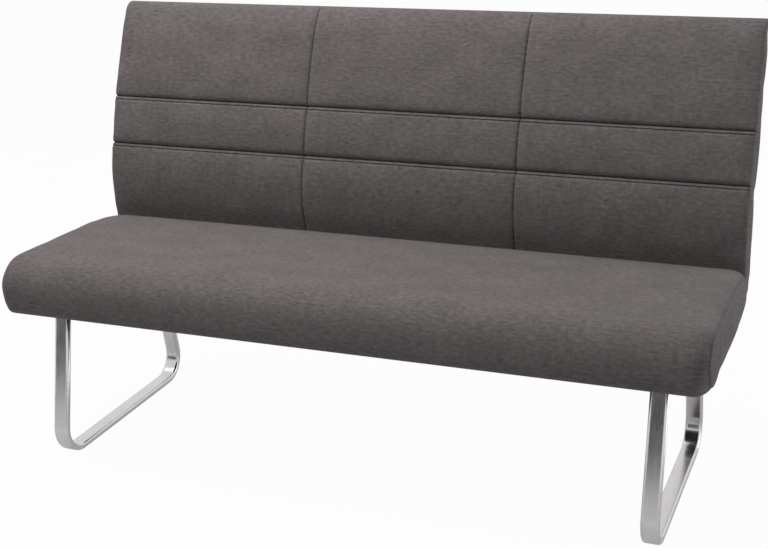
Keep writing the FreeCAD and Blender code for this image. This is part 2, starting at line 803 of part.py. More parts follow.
def back_base_strip():
    """Strip that closes the back below, slotted for the brackets."""
    clear = fabric + soft_clearance
    half = back_round_start
    front = back_front + clear + column_dent
    strip = box(-half, half, front, back_rear - clear, back_bottom, back_bottom + fabric)
    slot = bracket_width / 2 + bracket_slot_clearance
    for middle in bracket_middles.values():
        strip = strip.cut(slab(slot, middle, bracket_outline(bracket_slot_clearance)))
    return strip


def fastener_group(maker, places):
    """Identical fasteners at every bracket, as one group of separate solids."""
    solids = []
    for middle in bracket_middles.values():
        for spot in places:
            solids.append(maker(middle, spot))
    return Part.makeCompound(solids)


def spring_clips():
    """A clip at both ends of each spring."""
    first, last = spring_ends()
    clips = []
    for middle in spring_middles():
        clips.append(spring_clip(middle, first, -1))
        clips.append(spring_clip(middle, last, 1))
    return Part.makeCompound(clips)


def spring_pad():
    """Felt between the springs and the foam."""
    return box(-end_rail_outer, end_rail_outer, front_rail_front, rear_rail_rear, pad_bottom, pad_top)


sides = {"left": -1, "right": 1}
nodes = {}
for name, side in sides.items():
    nodes["leg_loop_" + name] = leg_loop(side * leg_middle)
    nodes["seat_end_panel_" + name] = seat_end_panel(side)
    nodes["back_side_panel_" + name] = back_side_panel(side)
    nodes["seat_end_rail_" + name] = short_rail(side * (end_rail_outer + end_rail_inner) / 2)
    for end, v in glide_places().items():
        nodes["floor_glide_" + end + "_" + name] = floor_glide(side * leg_middle, v)
for name, middle in bracket_middles.items():
    nodes["back_bracket_" + name] = back_bracket(middle)
    nodes["seat_cross_rail_" + name] = cross_rail(middle)
nodes["seat_front_rail"] = long_rail(front_rail_front)
nodes["seat_rear_rail"] = long_rail(rear_rail_front)
nodes["frame_dowels"] = dowel_rods(dowel_diameter, dowel_length)
nodes["seat_springs"] = Part.makeCompound([zigzag_spring(middle) for middle in spring_middles()])
nodes["spring_clips"] = spring_clips()
nodes["spring_pad"] = spring_pad()
nodes["seat_foam"] = seat_foam()
nodes["seat_cover"] = seat_cover()
nodes["dust_cover"] = dust_cover()
nodes["bracket_bolts"] = fastener_group(seat_bolt, seat_bolt_places())
nodes["bracket_washers"] = fastener_group(seat_washer, seat_bolt_places())
nodes["seat_tee_nuts"] = fastener_group(seat_tee_nut, seat_bolt_places())
nodes["back_panel"] = back_panel()
nodes["back_foam"] = back_foam()
nodes["back_wadding"] = back_wadding()
nodes["back_cover_front"] = back_cover_front()
nodes["back_cover_rear"] = back_cover_rear()
nodes["back_base_strip"] = back_base_strip()
nodes["back_bolts"] = fastener_group(back_bolt, back_bolt_places)
nodes["back_tee_nuts"] = fastener_group(back_tee_nut, back_bolt_places)

os.makedirs("parts", exist_ok=True)
for name, shape in nodes.items():
    shape.exportStep("parts/" + name + ".step")
    state = "valid" if shape.isValid() else "NOT VALID"
    print(name, len(shape.Solids), "solids", round(shape.Volume), "mm3", state)
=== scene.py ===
"""Looks of the upholstered dining bench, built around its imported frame, in metres."""
import logging
import math
from bisect import bisect_right
from collections.abc import Iterable
from dataclasses import dataclass
from enum import Enum

import bmesh
import bpy
import numpy as np
from mathutils import Matrix, Vector, noise
from mathutils.bvhtree import BVHTree


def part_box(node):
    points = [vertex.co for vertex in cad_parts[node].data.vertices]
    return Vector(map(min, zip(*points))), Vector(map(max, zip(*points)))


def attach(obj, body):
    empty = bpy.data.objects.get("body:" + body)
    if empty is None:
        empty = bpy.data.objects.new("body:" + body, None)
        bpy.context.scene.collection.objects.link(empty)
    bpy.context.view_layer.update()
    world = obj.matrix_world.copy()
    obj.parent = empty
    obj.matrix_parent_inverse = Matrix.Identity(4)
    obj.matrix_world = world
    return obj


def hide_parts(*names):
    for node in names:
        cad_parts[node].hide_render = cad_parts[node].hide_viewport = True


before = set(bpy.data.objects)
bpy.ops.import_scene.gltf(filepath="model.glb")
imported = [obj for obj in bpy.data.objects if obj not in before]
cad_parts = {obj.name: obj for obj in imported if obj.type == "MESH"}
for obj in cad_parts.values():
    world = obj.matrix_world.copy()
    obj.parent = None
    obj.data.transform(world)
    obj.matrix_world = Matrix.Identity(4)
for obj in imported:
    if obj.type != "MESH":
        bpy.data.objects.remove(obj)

BMesh = bmesh.types.BMesh
BMEdge = bmesh.types.BMEdge
BMFace = bmesh.types.BMFace
BMVert = bmesh.types.BMVert
BMLayer = bmesh.types.BMLayerItem
Material = bpy.types.Material
Piece = bpy.types.Object
Colour = tuple[float, float, float, float]
Cell = tuple[float, float, float]

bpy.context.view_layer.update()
BODY = "root"
CLOTH_MAP = "cloth"
TUBE_MAP = "tube"
# Vertex layer of painted shade, which darkens the cloth along the seam grooves
SEAM_SHADE_LAYER = "sewn"
WHITE: Colour = (1.0, 1.0, 1.0, 1.0)
NOISE_MIDDLE = 0.5
PLAIN_NOISE = 1.0
RICH_NOISE = 3.0
FULL_CREASE = 1.0
MILLIMETRES = 1e3
# Vertices this near to a line lie on it
LINE_REACH = 0.0005
# A cutting plane takes vertices this near as its own
CUT_REACH = 1e-5
# Keeps a division by a length safe
TINY = 1e-9
LOG = logging.getLogger("bench")


class Side(Enum):
    """The two ends of the bench, with their signs along X."""

    LEFT = -1
    RIGHT = 1


class Panel(Enum):
    """The six faces of a padded block, and the hollow cut into it from below."""

    FRONT = 0
    REAR = 1
    TOP = 2
    FOOT = 3
    LEFT = 4
    RIGHT = 5
    HOLLOW = 6


ENDS = frozenset({Panel.LEFT.value, Panel.RIGHT.value})


class Value:
    """A shader socket; arithmetic on it adds Math nodes."""

    def __init__(self, shader: "Shader", socket: bpy.types.NodeSocket) -> None:
        """Keep the shader and the socket."""
        self.shader = shader
        self.socket = socket

    def _math(self, operation: str, *terms: "Value | float") -> "Value":
        """Add one Math node over the terms."""
        return self.shader.node("ShaderNodeMath", {"operation": operation}, dict(enumerate(terms)))

    def __add__(self, other: "Value | float") -> "Value":
        """Sum of two values."""
        return self._math("ADD", self, other)

    __radd__ = __add__

    def __mul__(self, other: "Value | float") -> "Value":
        """Product of two values."""
        return self._math("MULTIPLY", self, other)

    __rmul__ = __mul__

    def __sub__(self, other: "Value | float") -> "Value":
        """Difference of two values."""
        return self._math("SUBTRACT", self, other)

    def __rsub__(self, other: float) -> "Value":
        """A number less this value."""
        return self._math("SUBTRACT", other, self)

    def sine(self) -> "Value":
        """Sine of the value, in radians."""
        return self._math("SINE", self)

    def larger(self, other: "Value | float") -> "Value":
        """The larger of two values."""
        return self._math("MAXIMUM", self, other)


class Shader:
    """A material's or world's node tree under construction."""

    def __init__(self, owner: Material | bpy.types.World) -> None:
        """Empty the owner's node tree.

        Args:
            owner: The material or world.
        """
        owner.use_nodes = True
        self.owner = owner
        self.tree = owner.node_tree
        self.tree.nodes.clear()

    @classmethod
    def named(cls, name: str) -> "Shader":
        """Start a new material."""
        return cls(bpy.data.materials.new(name))

    def node(
        self,
        kind: str,
        settings: dict[str, object] | None = None,
        inputs: dict[str | int, object] | None = None,
        output: str | int = 0,
    ) -> Value:
        """Add a node.

        Args:
            kind: The node's type.
            settings: Its own settings, set first; "stops" are a ramp's positions and colours.
            inputs: Values or links of its sockets.
            output: The socket to return.

        Returns:
            The chosen output.
        """
        made = self.tree.nodes.new(kind)
        for key, setting in (settings or {}).items():
            if key != "stops":
                setattr(made, key, setting)
                continue
            elements = made.color_ramp.elements
            while len(elements) < len(setting):
                elements.new(1.0)
            for element, (position, colour) in zip(elements, setting):
                element.position = position
                element.color = colour
        for key, value in (inputs or {}).items():
            if isinstance(value, Value):
                self.tree.links.new(value.socket, made.inputs[key])
            else:
                made.inputs[key].default_value = value
        return Value(self, made.outputs[output])

    def coordinates(self) -> Value:
        """Object coordinates."""
        return self.node("ShaderNodeTexCoord", output="Object")

    def noise(self, place: Value, cell: Cell, detail: float = 2.0) -> Value:
        """Noise around its middle, stretched over cells.

        Args:
            place: Coordinates in metres.
            cell: Size of one cell of the noise along each axis, in metres.
            detail: Number of finer layers.

        Returns:
            The noise's value.
        """
        scale = tuple(1 / size for size in cell)
        stretched = self.node("ShaderNodeMapping", None, {"Vector": place, "Scale": scale})
        return self.node("ShaderNodeTexNoise", None, {"Vector": stretched, "Scale": 1.0, "Detail": detail})

    def ramp(self, value: Value, *stops: tuple[float, Colour]) -> Value:
        """Colour of a value between stops."""
        return self.node("ShaderNodeValToRGB", {"stops": stops}, {"Fac": value})

    def bump(self, height: Value, strength: float, distance: float) -> Value:
        """Normal from a height in units of the distance, in metres."""
        inputs = {"Height": height, "Strength": strength, "Distance": distance}
        return self.node("ShaderNodeBump", None, inputs, "Normal")

    def surface(self, inputs: dict[str, object]) -> Material:
        """End the material in one principled shader.

        Args:
            inputs: Values or links of the shader's sockets.

        Returns:
            The finished material.
        """
        shaded = self.node("ShaderNodeBsdfPrincipled", None, inputs)
        self.node_output("ShaderNodeOutputMaterial", shaded)
        return self.owner

    def node_output(self, kind: str, shaded: Value) -> None:
        """End the tree in its output node."""
        made = self.tree.nodes.new(kind)
        self.tree.links.new(shaded.socket, made.inputs["Surface"])


@dataclass(frozen=True)
class MelangeCloth:
    """Dense woven upholstery of mixed light and dark yarns with short slubs along the weft, with painted
    shade along its seam lines.
    """

    name: str = "melange_cloth"
    # Darkest stop, reached by the painted shade of the seams and by the darkest dashes
    sewn: Colour = (0.016, 0.014, 0.0145, 1.0)
    dark: Colour = (0.088, 0.0785, 0.0775, 1.0)
    middle: Colour = (0.176, 0.156, 0.1525, 1.0)
    light: Colour = (0.300, 0.268, 0.258, 1.0)
    stops: tuple[float, float, float, float] = (0.0, 0.12, 0.50, 0.88)
    yarn: float = 0.0011
    slub: Cell = (0.0150, 0.0056, 1.0)
    fleck: Cell = (0.0055, 0.0025, 1.0)
    dash: Cell = (0.0150, 0.0048, 1.0)
    warp: Cell = (0.0030, 0.0400, 1.0)
    cloud: Cell = (0.1000, 0.0600, 1.0)
    slub_tone: float = 0.60
    fleck_tone: float = 0.26
    warp_tone: float = 0.18
    cloud_tone: float = 0.28
    dash_floor: float = 0.60
    dash_tone: float = 1.1
    # Strength of the painted seam shade in the cloth's tone
    seam_shade_tone: float = 0.5
    weave_height: float = 0.25
    slub_height: float = 0.20
    fleck_height: float = 0.20
    relief: float = 0.0005
    relief_strength: float = 0.45
    roughness: float = 0.92
    slub_polish: float = 0.20
    specular: float = 0.25
    sheen: float = 0.10
    sheen_roughness: float = 0.45
    sheen_tint: Colour = (0.86, 0.84, 0.88, 1.0)

    def material(self) -> Material:
        """Build the cloth on its own flat pattern.

        Returns:
            The finished material.
        """
        shader = Shader.named(self.name)
        flat = shader.node("ShaderNodeUVMap", {"uv_map": CLOTH_MAP})
        slub = shader.noise(flat, self.slub) - NOISE_MIDDLE
        fleck = shader.noise(flat, self.fleck, PLAIN_NOISE) - NOISE_MIDDLE
        warp = shader.noise(flat, self.warp, PLAIN_NOISE) - NOISE_MIDDLE
        cloud = shader.noise(flat, self.cloud, RICH_NOISE) - NOISE_MIDDLE
        dash = (shader.noise(flat, self.dash, PLAIN_NOISE) - self.dash_floor).larger(0.0)
        # Painted shade along the seam grooves
        sewn = shader.node("ShaderNodeAttribute", {"attribute_name": SEAM_SHADE_LAYER}, None, "Fac")
        yarns = NOISE_MIDDLE + slub * self.slub_tone + fleck * self.fleck_tone + warp * self.warp_tone
        tone = yarns + cloud * self.cloud_tone - dash * self.dash_tone - sewn * self.seam_shade_tone
        colour = shader.ramp(tone, *zip(self.stops, (self.sewn, self.dark, self.middle, self.light)))
        across = shader.node("ShaderNodeSeparateXYZ", None, {"Vector": flat}, "X")
        along = shader.node("ShaderNodeSeparateXYZ", None, {"Vector": flat}, "Y")
        turns = 2 * math.pi / self.yarn
        weave = (across * turns).sine() * (along * turns).sine()
        height = weave * self.weave_height + slub * self.slub_height + fleck * self.fleck_height
        return shader.surface({
            "Base Color": colour,
            "Roughness": self.roughness - slub * self.slub_polish,
            "Specular IOR Level": self.specular,
            "Sheen Weight": self.sheen,
            "Sheen Roughness": self.sheen_roughness,
            "Sheen Tint": self.sheen_tint,
            "Normal": shader.bump(height, self.relief_strength, self.relief),
        })


@dataclass(frozen=True)
class BrushedSteel:
    """Stainless tube, brushed along its length."""

    name: str = "brushed_stainless"
    dark: Colour = (0.520, 0.500, 0.515, 1.0)
    light: Colour = (0.700, 0.680, 0.695, 1.0)
    stops: tuple[float, float] = (0.25, 0.75)
    scratch: Cell = (0.00035, 0.0550, 1.0)
    smear: Cell = (0.0200, 0.0600, 1.0)
    scratch_tone: float = 0.7
    smear_tone: float = 0.3
    roughness: float = 0.08
    scratch_roughness: float = 0.16
    smear_roughness: float = 0.08
    relief: float = 0.0002
    relief_strength: float = 0.10

    def material(self) -> Material:
        """Build the metal on the tube's own map: across, then along.

        Returns:
            The finished material.
        """
        shader = Shader.named(self.name)
        flat = shader.node("ShaderNodeUVMap", {"uv_map": TUBE_MAP})
        scratch = shader.noise(flat, self.scratch)
        smear = shader.noise(flat, self.smear)
        tone = scratch * self.scratch_tone + smear * self.smear_tone
        return shader.surface({
            "Base Color": shader.ramp(tone, *zip(self.stops, (self.dark, self.light))),
            "Metallic": 1.0,
            "Roughness": self.roughness + scratch * self.scratch_roughness + smear * self.smear_roughness,
            "Normal": shader.bump(scratch, self.relief_strength, self.relief),
        })


@dataclass(frozen=True)
class PlainFinish:
    """Finish of one colour family with a fine grain: powder coat, zinc, plastic, felt, lining or thread."""

    name: str
    dark: Colour
    light: Colour
    roughness: float
    relief: float
    cell: Cell = (0.0009, 0.0009, 0.0009)
    metallic: float = 0.0
    sheen: float = 0.0
    stops: tuple[float, float] = (0.30, 0.70)
    broadness: float = 12.0
    grain_tone: float = 0.6
    broad_tone: float = 0.4
    roughness_swing: float = 0.24
    relief_strength: float = 0.5

    def material(self) -> Material:
        """Build the finish on Object coordinates.

        Returns:
            The finished material.
        """
        shader = Shader.named(self.name)
        place = shader.coordinates()
        grain = shader.noise(place, self.cell)
        broad = shader.noise(place, tuple(self.broadness * size for size in self.cell))
        tone = grain * self.grain_tone + broad * self.broad_tone
        smoothest = self.roughness - self.roughness_swing / 2
        return shader.surface({
            "Base Color": shader.ramp(tone, *zip(self.stops, (self.dark, self.light))),
            "Metallic": self.metallic,
            "Roughness": smoothest + broad * self.roughness_swing,
            "Sheen Weight": self.sheen,
            "Normal": shader.bump(grain, self.relief_strength, self.relief),
        })


@dataclass(frozen=True)
class Timber:
    """Planed wood with its grain along one axis, or the stacked plies of a board."""

    name: str
    early: Colour
    late: Colour
    ring: Cell
    fibre: Cell
    stops: tuple[float, float] = (0.32, 0.68)
    ring_tone: float = 0.65
    fibre_tone: float = 0.35
    roughness: float = 0.52
    fibre_roughness: float = 0.25
    relief: float = 0.0003
    relief_strength: float = 0.4

    def material(self) -> Material:
        """Build the wood on Object coordinates.

        Returns:
            The finished material.
        """
        shader = Shader.named(self.name)
        place = shader.coordinates()
        ring = shader.noise(place, self.ring, RICH_NOISE)
        fibre = shader.noise(place, self.fibre)
        tone = ring * self.ring_tone + fibre * self.fibre_tone
        return shader.surface({
            "Base Color": shader.ramp(tone, *zip(self.stops, (self.early, self.late))),
            "Roughness": self.roughness + fibre * self.fibre_roughness,
            "Normal": shader.bump(fibre, self.relief_strength, self.relief),
        })


def add_piece(name: str, bm: BMesh, finish: Material) -> Piece:
    """Turn a finished bmesh into a piece of the bench.

    Args:
        name: The piece's name.
        bm: Its mesh, freed here.
        finish: Its material.

    Returns:
        The new object, riding on the bench's one body.
    """
    mesh = bpy.data.meshes.new(name)
    bm.to_mesh(mesh)
    bm.free()
    mesh.materials.append(finish)
    mesh.shade_smooth()
    piece = bpy.data.objects.new(name, mesh)
    bpy.context.scene.collection.objects.link(piece)
    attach(piece, BODY)
    LOG.info("%s: %d faces", name, len(mesh.polygons))
    return piece


def add_stage(name: str, bm: BMesh, shader: Shader) -> Piece:
    """Turn a finished bmesh into a part of the surroundings.

    Args:
        name: Its name.
        bm: Its mesh, freed here.
        shader: Its finished material.

    Returns:
        The new object, which isn't a piece of the bench.
    """
    mesh = bpy.data.meshes.new(name)
    bm.to_mesh(mesh)
    bm.free()
    mesh.materials.append(shader.owner)
    staged = bpy.data.objects.new(name, mesh)
    bpy.context.scene.collection.objects.link(staged)
    return staged


def extruded(bm: BMesh, faces: list[BMFace]) -> list[BMFace]:
    """Extrude a patch of faces and leave nothing of it behind.

    Args:
        bm: The mesh.
        faces: The patch.

    Returns:
        The faces of the new patch, still in the old place.
    """
    edges = {edge for face in faces for edge in face.edges}
    grown = bmesh.ops.extrude_face_region(bm, geom=[*faces, *edges])["geom"]
    return [part for part in grown if isinstance(part, BMFace)]


def rounded_box(bm: BMesh, place: Matrix, edge: float, steps: int) -> None:
    """Add a box with rounded edges.

    Args:
        bm: Mesh to add it to.
        place: Matrix that takes a unit cube to the box.
        edge: Size of the rounding.
        steps: Number of faces across the rounding.
    """
    made = bmesh.ops.create_cube(bm, size=1.0, matrix=place)
    edges = list({link for vert in made["verts"] for link in vert.link_edges})
    bmesh.ops.bevel(bm, geom=edges, offset=edge, segments=steps, profile=0.5, affect="EDGES", material=-1)


def map_plan(bm: BMesh) -> None:
    """Map a flat piece of cloth as it is seen from above.

    Args:
        bm: The piece.
    """
    flat = bm.loops.layers.uv.new(CLOTH_MAP)
    for face in bm.faces:
        for loop in face.loops:
            loop[flat].uv = loop.vert.co.xy


def subdivided(piece: Piece, levels: int = 1) -> None:
    """Finish a piece with a subdivision surface.

    Args:
        piece: The piece.
        levels: How often its faces are divided, in the view and in the render.
    """
    modifier = piece.modifiers.new("subdivision", "SUBSURF")
    modifier.levels = levels
    modifier.render_levels = levels


def spread(first: float, last: float, cells: int) -> list[float]:
    """Even steps after a first value up to a last one."""
    return [first + (last - first) * step / cells for step in range(1, cells + 1)]


def mirrored(half: list[float]) -> list[float]:
    """Stations on both sides of the middle, from those of the right half."""
    return sorted({-x for x in half} | set(half))


def bell(offset: float, width: float) -> float:
    """Bell curve over an offset, 1 at its middle."""
    return math.exp(-(offset / width) ** 2)


def bounded(share: float) -> float:
    """A share kept between 0 and 1."""
    return min(max(share, 0.0), 1.0)


def quarter_round(share: float) -> float:
    """Height of a quarter of a circle at a share of the way in from its foot."""
    return math.sqrt(1 - (1 - bounded(share)) ** 2)


def end_fall(x: float, start: float, radius: float) -> float:
    """How far an end rounding has fallen at a place along the bench."""
    run = max(0.0, abs(x) - start)
    return radius - math.sqrt(radius ** 2 - run ** 2)


class Outline:
    """Line of straight and rounded runs in a cushion's section, measured along its length."""

    ARC_STEPS = 12

    def __init__(self, start: Vector) -> None:
        """Start the line at a point.

        Args:
            start: The point.
        """
        self.points = [start]
        self.lengths = [0.0]
        self.marks: dict[str, float] = {}

    def line(self, end: Vector, mark: str = "") -> None:
        """Go straight to a point.

        Args:
            end: The point.
            mark: Its name, where it has one.
        """
        self.lengths.append(self.lengths[-1] + (end - self.points[-1]).length)
        self.points.append(end)
        if mark:
            self.marks[mark] = self.lengths[-1]

    def bow(self, end: Vector, rise: float) -> None:
        """Go to a point in a flat bow.

        Args:
            end: The point.
            rise: Height of the bow's middle over its chord.
        """
        start = self.points[-1]
        chord = end - start
        across = Vector((chord.y, -chord.x)).normalized()
        for step in range(1, self.ARC_STEPS + 1):
            share = step / self.ARC_STEPS
            self.line(start + chord * share + across * (4 * rise * share * (1 - share)))

    def arc(self, corner: Vector, end: Vector, middle: str = "") -> None:
        """Round a corner as a quarter of an oval does.

        Args:
            corner: The corner that is rounded off.
            end: Where the rounding ends.
            middle: Name of the rounding's middle, where it has one.
        """
        start = self.points[-1]
        centre = start + end - corner
        for step in range(1, self.ARC_STEPS + 1):
            turn = math.pi / 2 * step / self.ARC_STEPS
            point = centre + (start - centre) * math.cos(turn) + (end - centre) * math.sin(turn)
            self.line(point, middle if 2 * step == self.ARC_STEPS else "")

    def girth(self, first: str, last: str, share: float) -> float:
        """Length along the line at a share of the way between two marks."""
        return self.marks[first] + (self.marks[last] - self.marks[first]) * share

    def at(self, girth: float) -> Vector:
        """Find a point of the line.

        Args:
            girth: Length along the line.

        Returns:
            The point there.
        """
        index = min(max(bisect_right(self.lengths, girth), 1), len(self.points) - 1)
        span = self.lengths[index] - self.lengths[index - 1]
        return self.points[index - 1].lerp(self.points[index], (girth - self.lengths[index - 1]) / span)


@dataclass
class PaddedBlock:
    """Closed grid over a section outline: the six faces of a cut cube become the panels of a cushion.

    The outline has the marks rear_foot, rear_top, front_top, front_foot and end, in that order.
    """

    outline: Outline
    depth_shares: list[float]
    height_shares: list[float]
    stations: list[float]

    def section(self, depth: float, height: float) -> Vector:
        """Point of the section between its four sides.

        Args:
            depth: Share of the way from the front to the rear.
            height: Share of the way from the foot to the top.

        Returns:
            The point in the section's own plane.
        """
        line = self.outline
        foot = line.at(line.girth("front_foot", "end", depth))
        top = line.at(line.girth("front_top", "rear_top", depth))
        front = line.at(line.girth("front_foot", "front_top", height))
        rear = line.at(line.girth("rear_foot", "rear_top", height))
        low = line.at(line.marks["front_foot"]).lerp(line.at(line.marks["end"]), depth)
        high = line.at(line.marks["front_top"]).lerp(line.at(line.marks["rear_top"]), depth)
        return foot.lerp(top, height) + front.lerp(rear, depth) - low.lerp(high, height)

    def build(self) -> BMesh:
        """Cut a cube into cells and lay it over the section.

        Returns:
            The block, with its panels, depth shares and height shares kept on it.
        """
        bm = bmesh.new()
        middle = 0.5
        bmesh.ops.create_cube(bm, size=1.0, matrix=Matrix.Translation((middle, middle, middle)))
        cells = [len(self.stations) - 1, len(self.depth_shares) - 1, len(self.height_shares) - 1]
        for axis, count in enumerate(cells):
            long = [e for e in bm.edges if abs(e.verts[0].co[axis] - e.verts[1].co[axis]) > middle]
            bmesh.ops.subdivide_edges(bm, edges=long, cuts=count - 1, use_grid_fill=True)
        panel = bm.faces.layers.int.new("panel")
        bm.normal_update()
        for face in bm.faces:
            face[panel] = self.panel_of(face.normal).value
        bm.verts.layers.float.new(SEAM_SHADE_LAYER)
        depth = bm.verts.layers.float.new("depth")
        height = bm.verts.layers.float.new("height")
        for vert in bm.verts:
            station, deep, high = (round(part * count) for part, count in zip(vert.co, cells))
            vert[depth] = self.depth_shares[deep]
            vert[height] = self.height_shares[high]
            spot = self.section(vert[depth], vert[height])
            vert.co = Vector((self.stations[station], spot.x, spot.y))
        return bm

    @staticmethod
    def panel_of(normal: Vector) -> Panel:
        """Tell which panel a face of the cut cube belongs to.

        Args:
            normal: The face's normal.

        Returns:
            The panel.
        """
        axis = max(range(3), key=lambda i: abs(normal[i]))
        pairs = [(Panel.LEFT, Panel.RIGHT), (Panel.FRONT, Panel.REAR), (Panel.FOOT, Panel.TOP)]
        return pairs[axis][normal[axis] > 0]

    def round_out_ends(self, bm: BMesh, bows: dict[Side, float], lowness: float = 1.0) -> None:
        """Bow both end panels outwards between their seams.

        Args:
            bm: The block.
            bows: Height of the bow at each end.
            lowness: Power of the height; the bow is fullest in the middle at 1 and lower down below 1.
        """
        depth = bm.verts.layers.float["depth"]
        height = bm.verts.layers.float["height"]
        reach = self.stations[-1] - LINE_REACH
        for vert in bm.verts:
            if abs(vert.co.x) > reach:
                bow = math.sin(math.pi * vert[depth]) * math.sin(math.pi * vert[height] ** lowness)
                side = Side.RIGHT if vert.co.x > 0 else Side.LEFT
                vert.co.x += side.value * bows[side] * math.sqrt(max(bow, 0.0))

    @staticmethod
    def hollow(bm: BMesh, rings: list[tuple[float, Vector, Vector]]) -> None:
        """Sink a hollow into the block from its foot.

        Args:
            bm: The block, with grid lines on the first ring's four sides.
            rings: Height, low corner and high corner of each ring, from the mouth up to the roof.
        """
        panel = bm.faces.layers.int["panel"]
        _, low, high = rings[0]
        foot = [f for f in bm.faces if f[panel] == Panel.FOOT.value]
        inside = [f for f in foot if all(low[i] < f.calc_center_median()[i] < high[i] for i in (0, 1))]
        for height, ring_low, ring_high in rings[1:]:
            inside = extruded(bm, inside)
            for vert in {v for f in inside for v in f.verts}:
                vert.co.z = height
                for axis in (0, 1):
                    if abs(vert.co[axis] - low[axis]) < LINE_REACH:
                        vert.co[axis] = ring_low[axis]
                    elif abs(vert.co[axis] - high[axis]) < LINE_REACH:
                        vert.co[axis] = ring_high[axis]
            walls = {f for top in inside for v in top.verts for f in v.link_faces}
            for face in walls:
                face[panel] = Panel.HOLLOW.value
            low, high = ring_low, ring_high

    def map_cloth(self, bm: BMesh) -> None:
        """Give every panel its flat pattern, in metres: along the bench and round the section.

        Args:
            bm: The block, sewn and stuffed.
        """
        panel = bm.faces.layers.int["panel"]
        depth = bm.verts.layers.float["depth"]
        height = bm.verts.layers.float["height"]
        flat = bm.loops.layers.uv.new(CLOTH_MAP)
        sides = {
            Panel.FRONT.value: ("front_foot", "front_top", height),
            Panel.REAR.value: ("rear_foot", "rear_top", height),
            Panel.TOP.value: ("front_top", "rear_top", depth),
        }
        for face in bm.faces:
            for loop in face.loops:
                x, deep, high = loop.vert.co
                if face[panel] in sides:
                    first, last, share = sides[face[panel]]
                    loop[flat].uv = (x, -self.outline.girth(first, last, loop.vert[share]))
                elif face[panel] in ENDS:
                    loop[flat].uv = (deep, high)
                else:
                    loop[flat].uv = (x, deep)


def panels_at(bm: BMesh) -> list[set[int]]:
    """For each vertex, the panels that meet there."""
    panel = bm.faces.layers.int["panel"]
    return [{f[panel] for f in vert.link_faces} for vert in bm.verts]


def on_end_seam(kinds: set[int]) -> bool:
    """Whether an end panel and the main cover meet where these panels do."""
    return bool(kinds & ENDS and kinds - ENDS)


def crease_end_seams(bm: BMesh) -> None:
    """Keep the seams between the end panels and the main cover sharp under subdivision.

    Args:
        bm: The block.
    """
    panel = bm.faces.layers.int["panel"]
    crease = bm.edges.layers.float.new("crease_edge")
    for edge in bm.edges:
        if on_end_seam({f[panel] for f in edge.link_faces}):
            edge[crease] = FULL_CREASE


def sink_end_seams(bm: BMesh, margin: float, depth: float, seam_shade_strength: float) -> None:
    """Sink the seams between the end panels and the main cover into a groove, and paint shade along them.

    Args:
        bm: The stuffed block.
        margin: Width of the strip of end panel that turns into the groove.
        depth: Depth of the groove.
        seam_shade_strength: Strength of the painted shade that darkens the seam line.
    """
    panel = bm.faces.layers.int["panel"]
    sewn = bm.verts.layers.float[SEAM_SHADE_LAYER]
    for side in ENDS:
        faces = [face for face in bm.faces if face[panel] == side]
        bmesh.ops.inset_region(bm, faces=faces, thickness=margin, use_boundary=True, use_even_offset=True)
    bm.normal_update()
    for vert, kinds in zip(bm.verts, panels_at(bm)):
        if on_end_seam(kinds):
            vert.co -= vert.normal * depth
            # Painted shade on the seam line
            vert[sewn] = seam_shade_strength


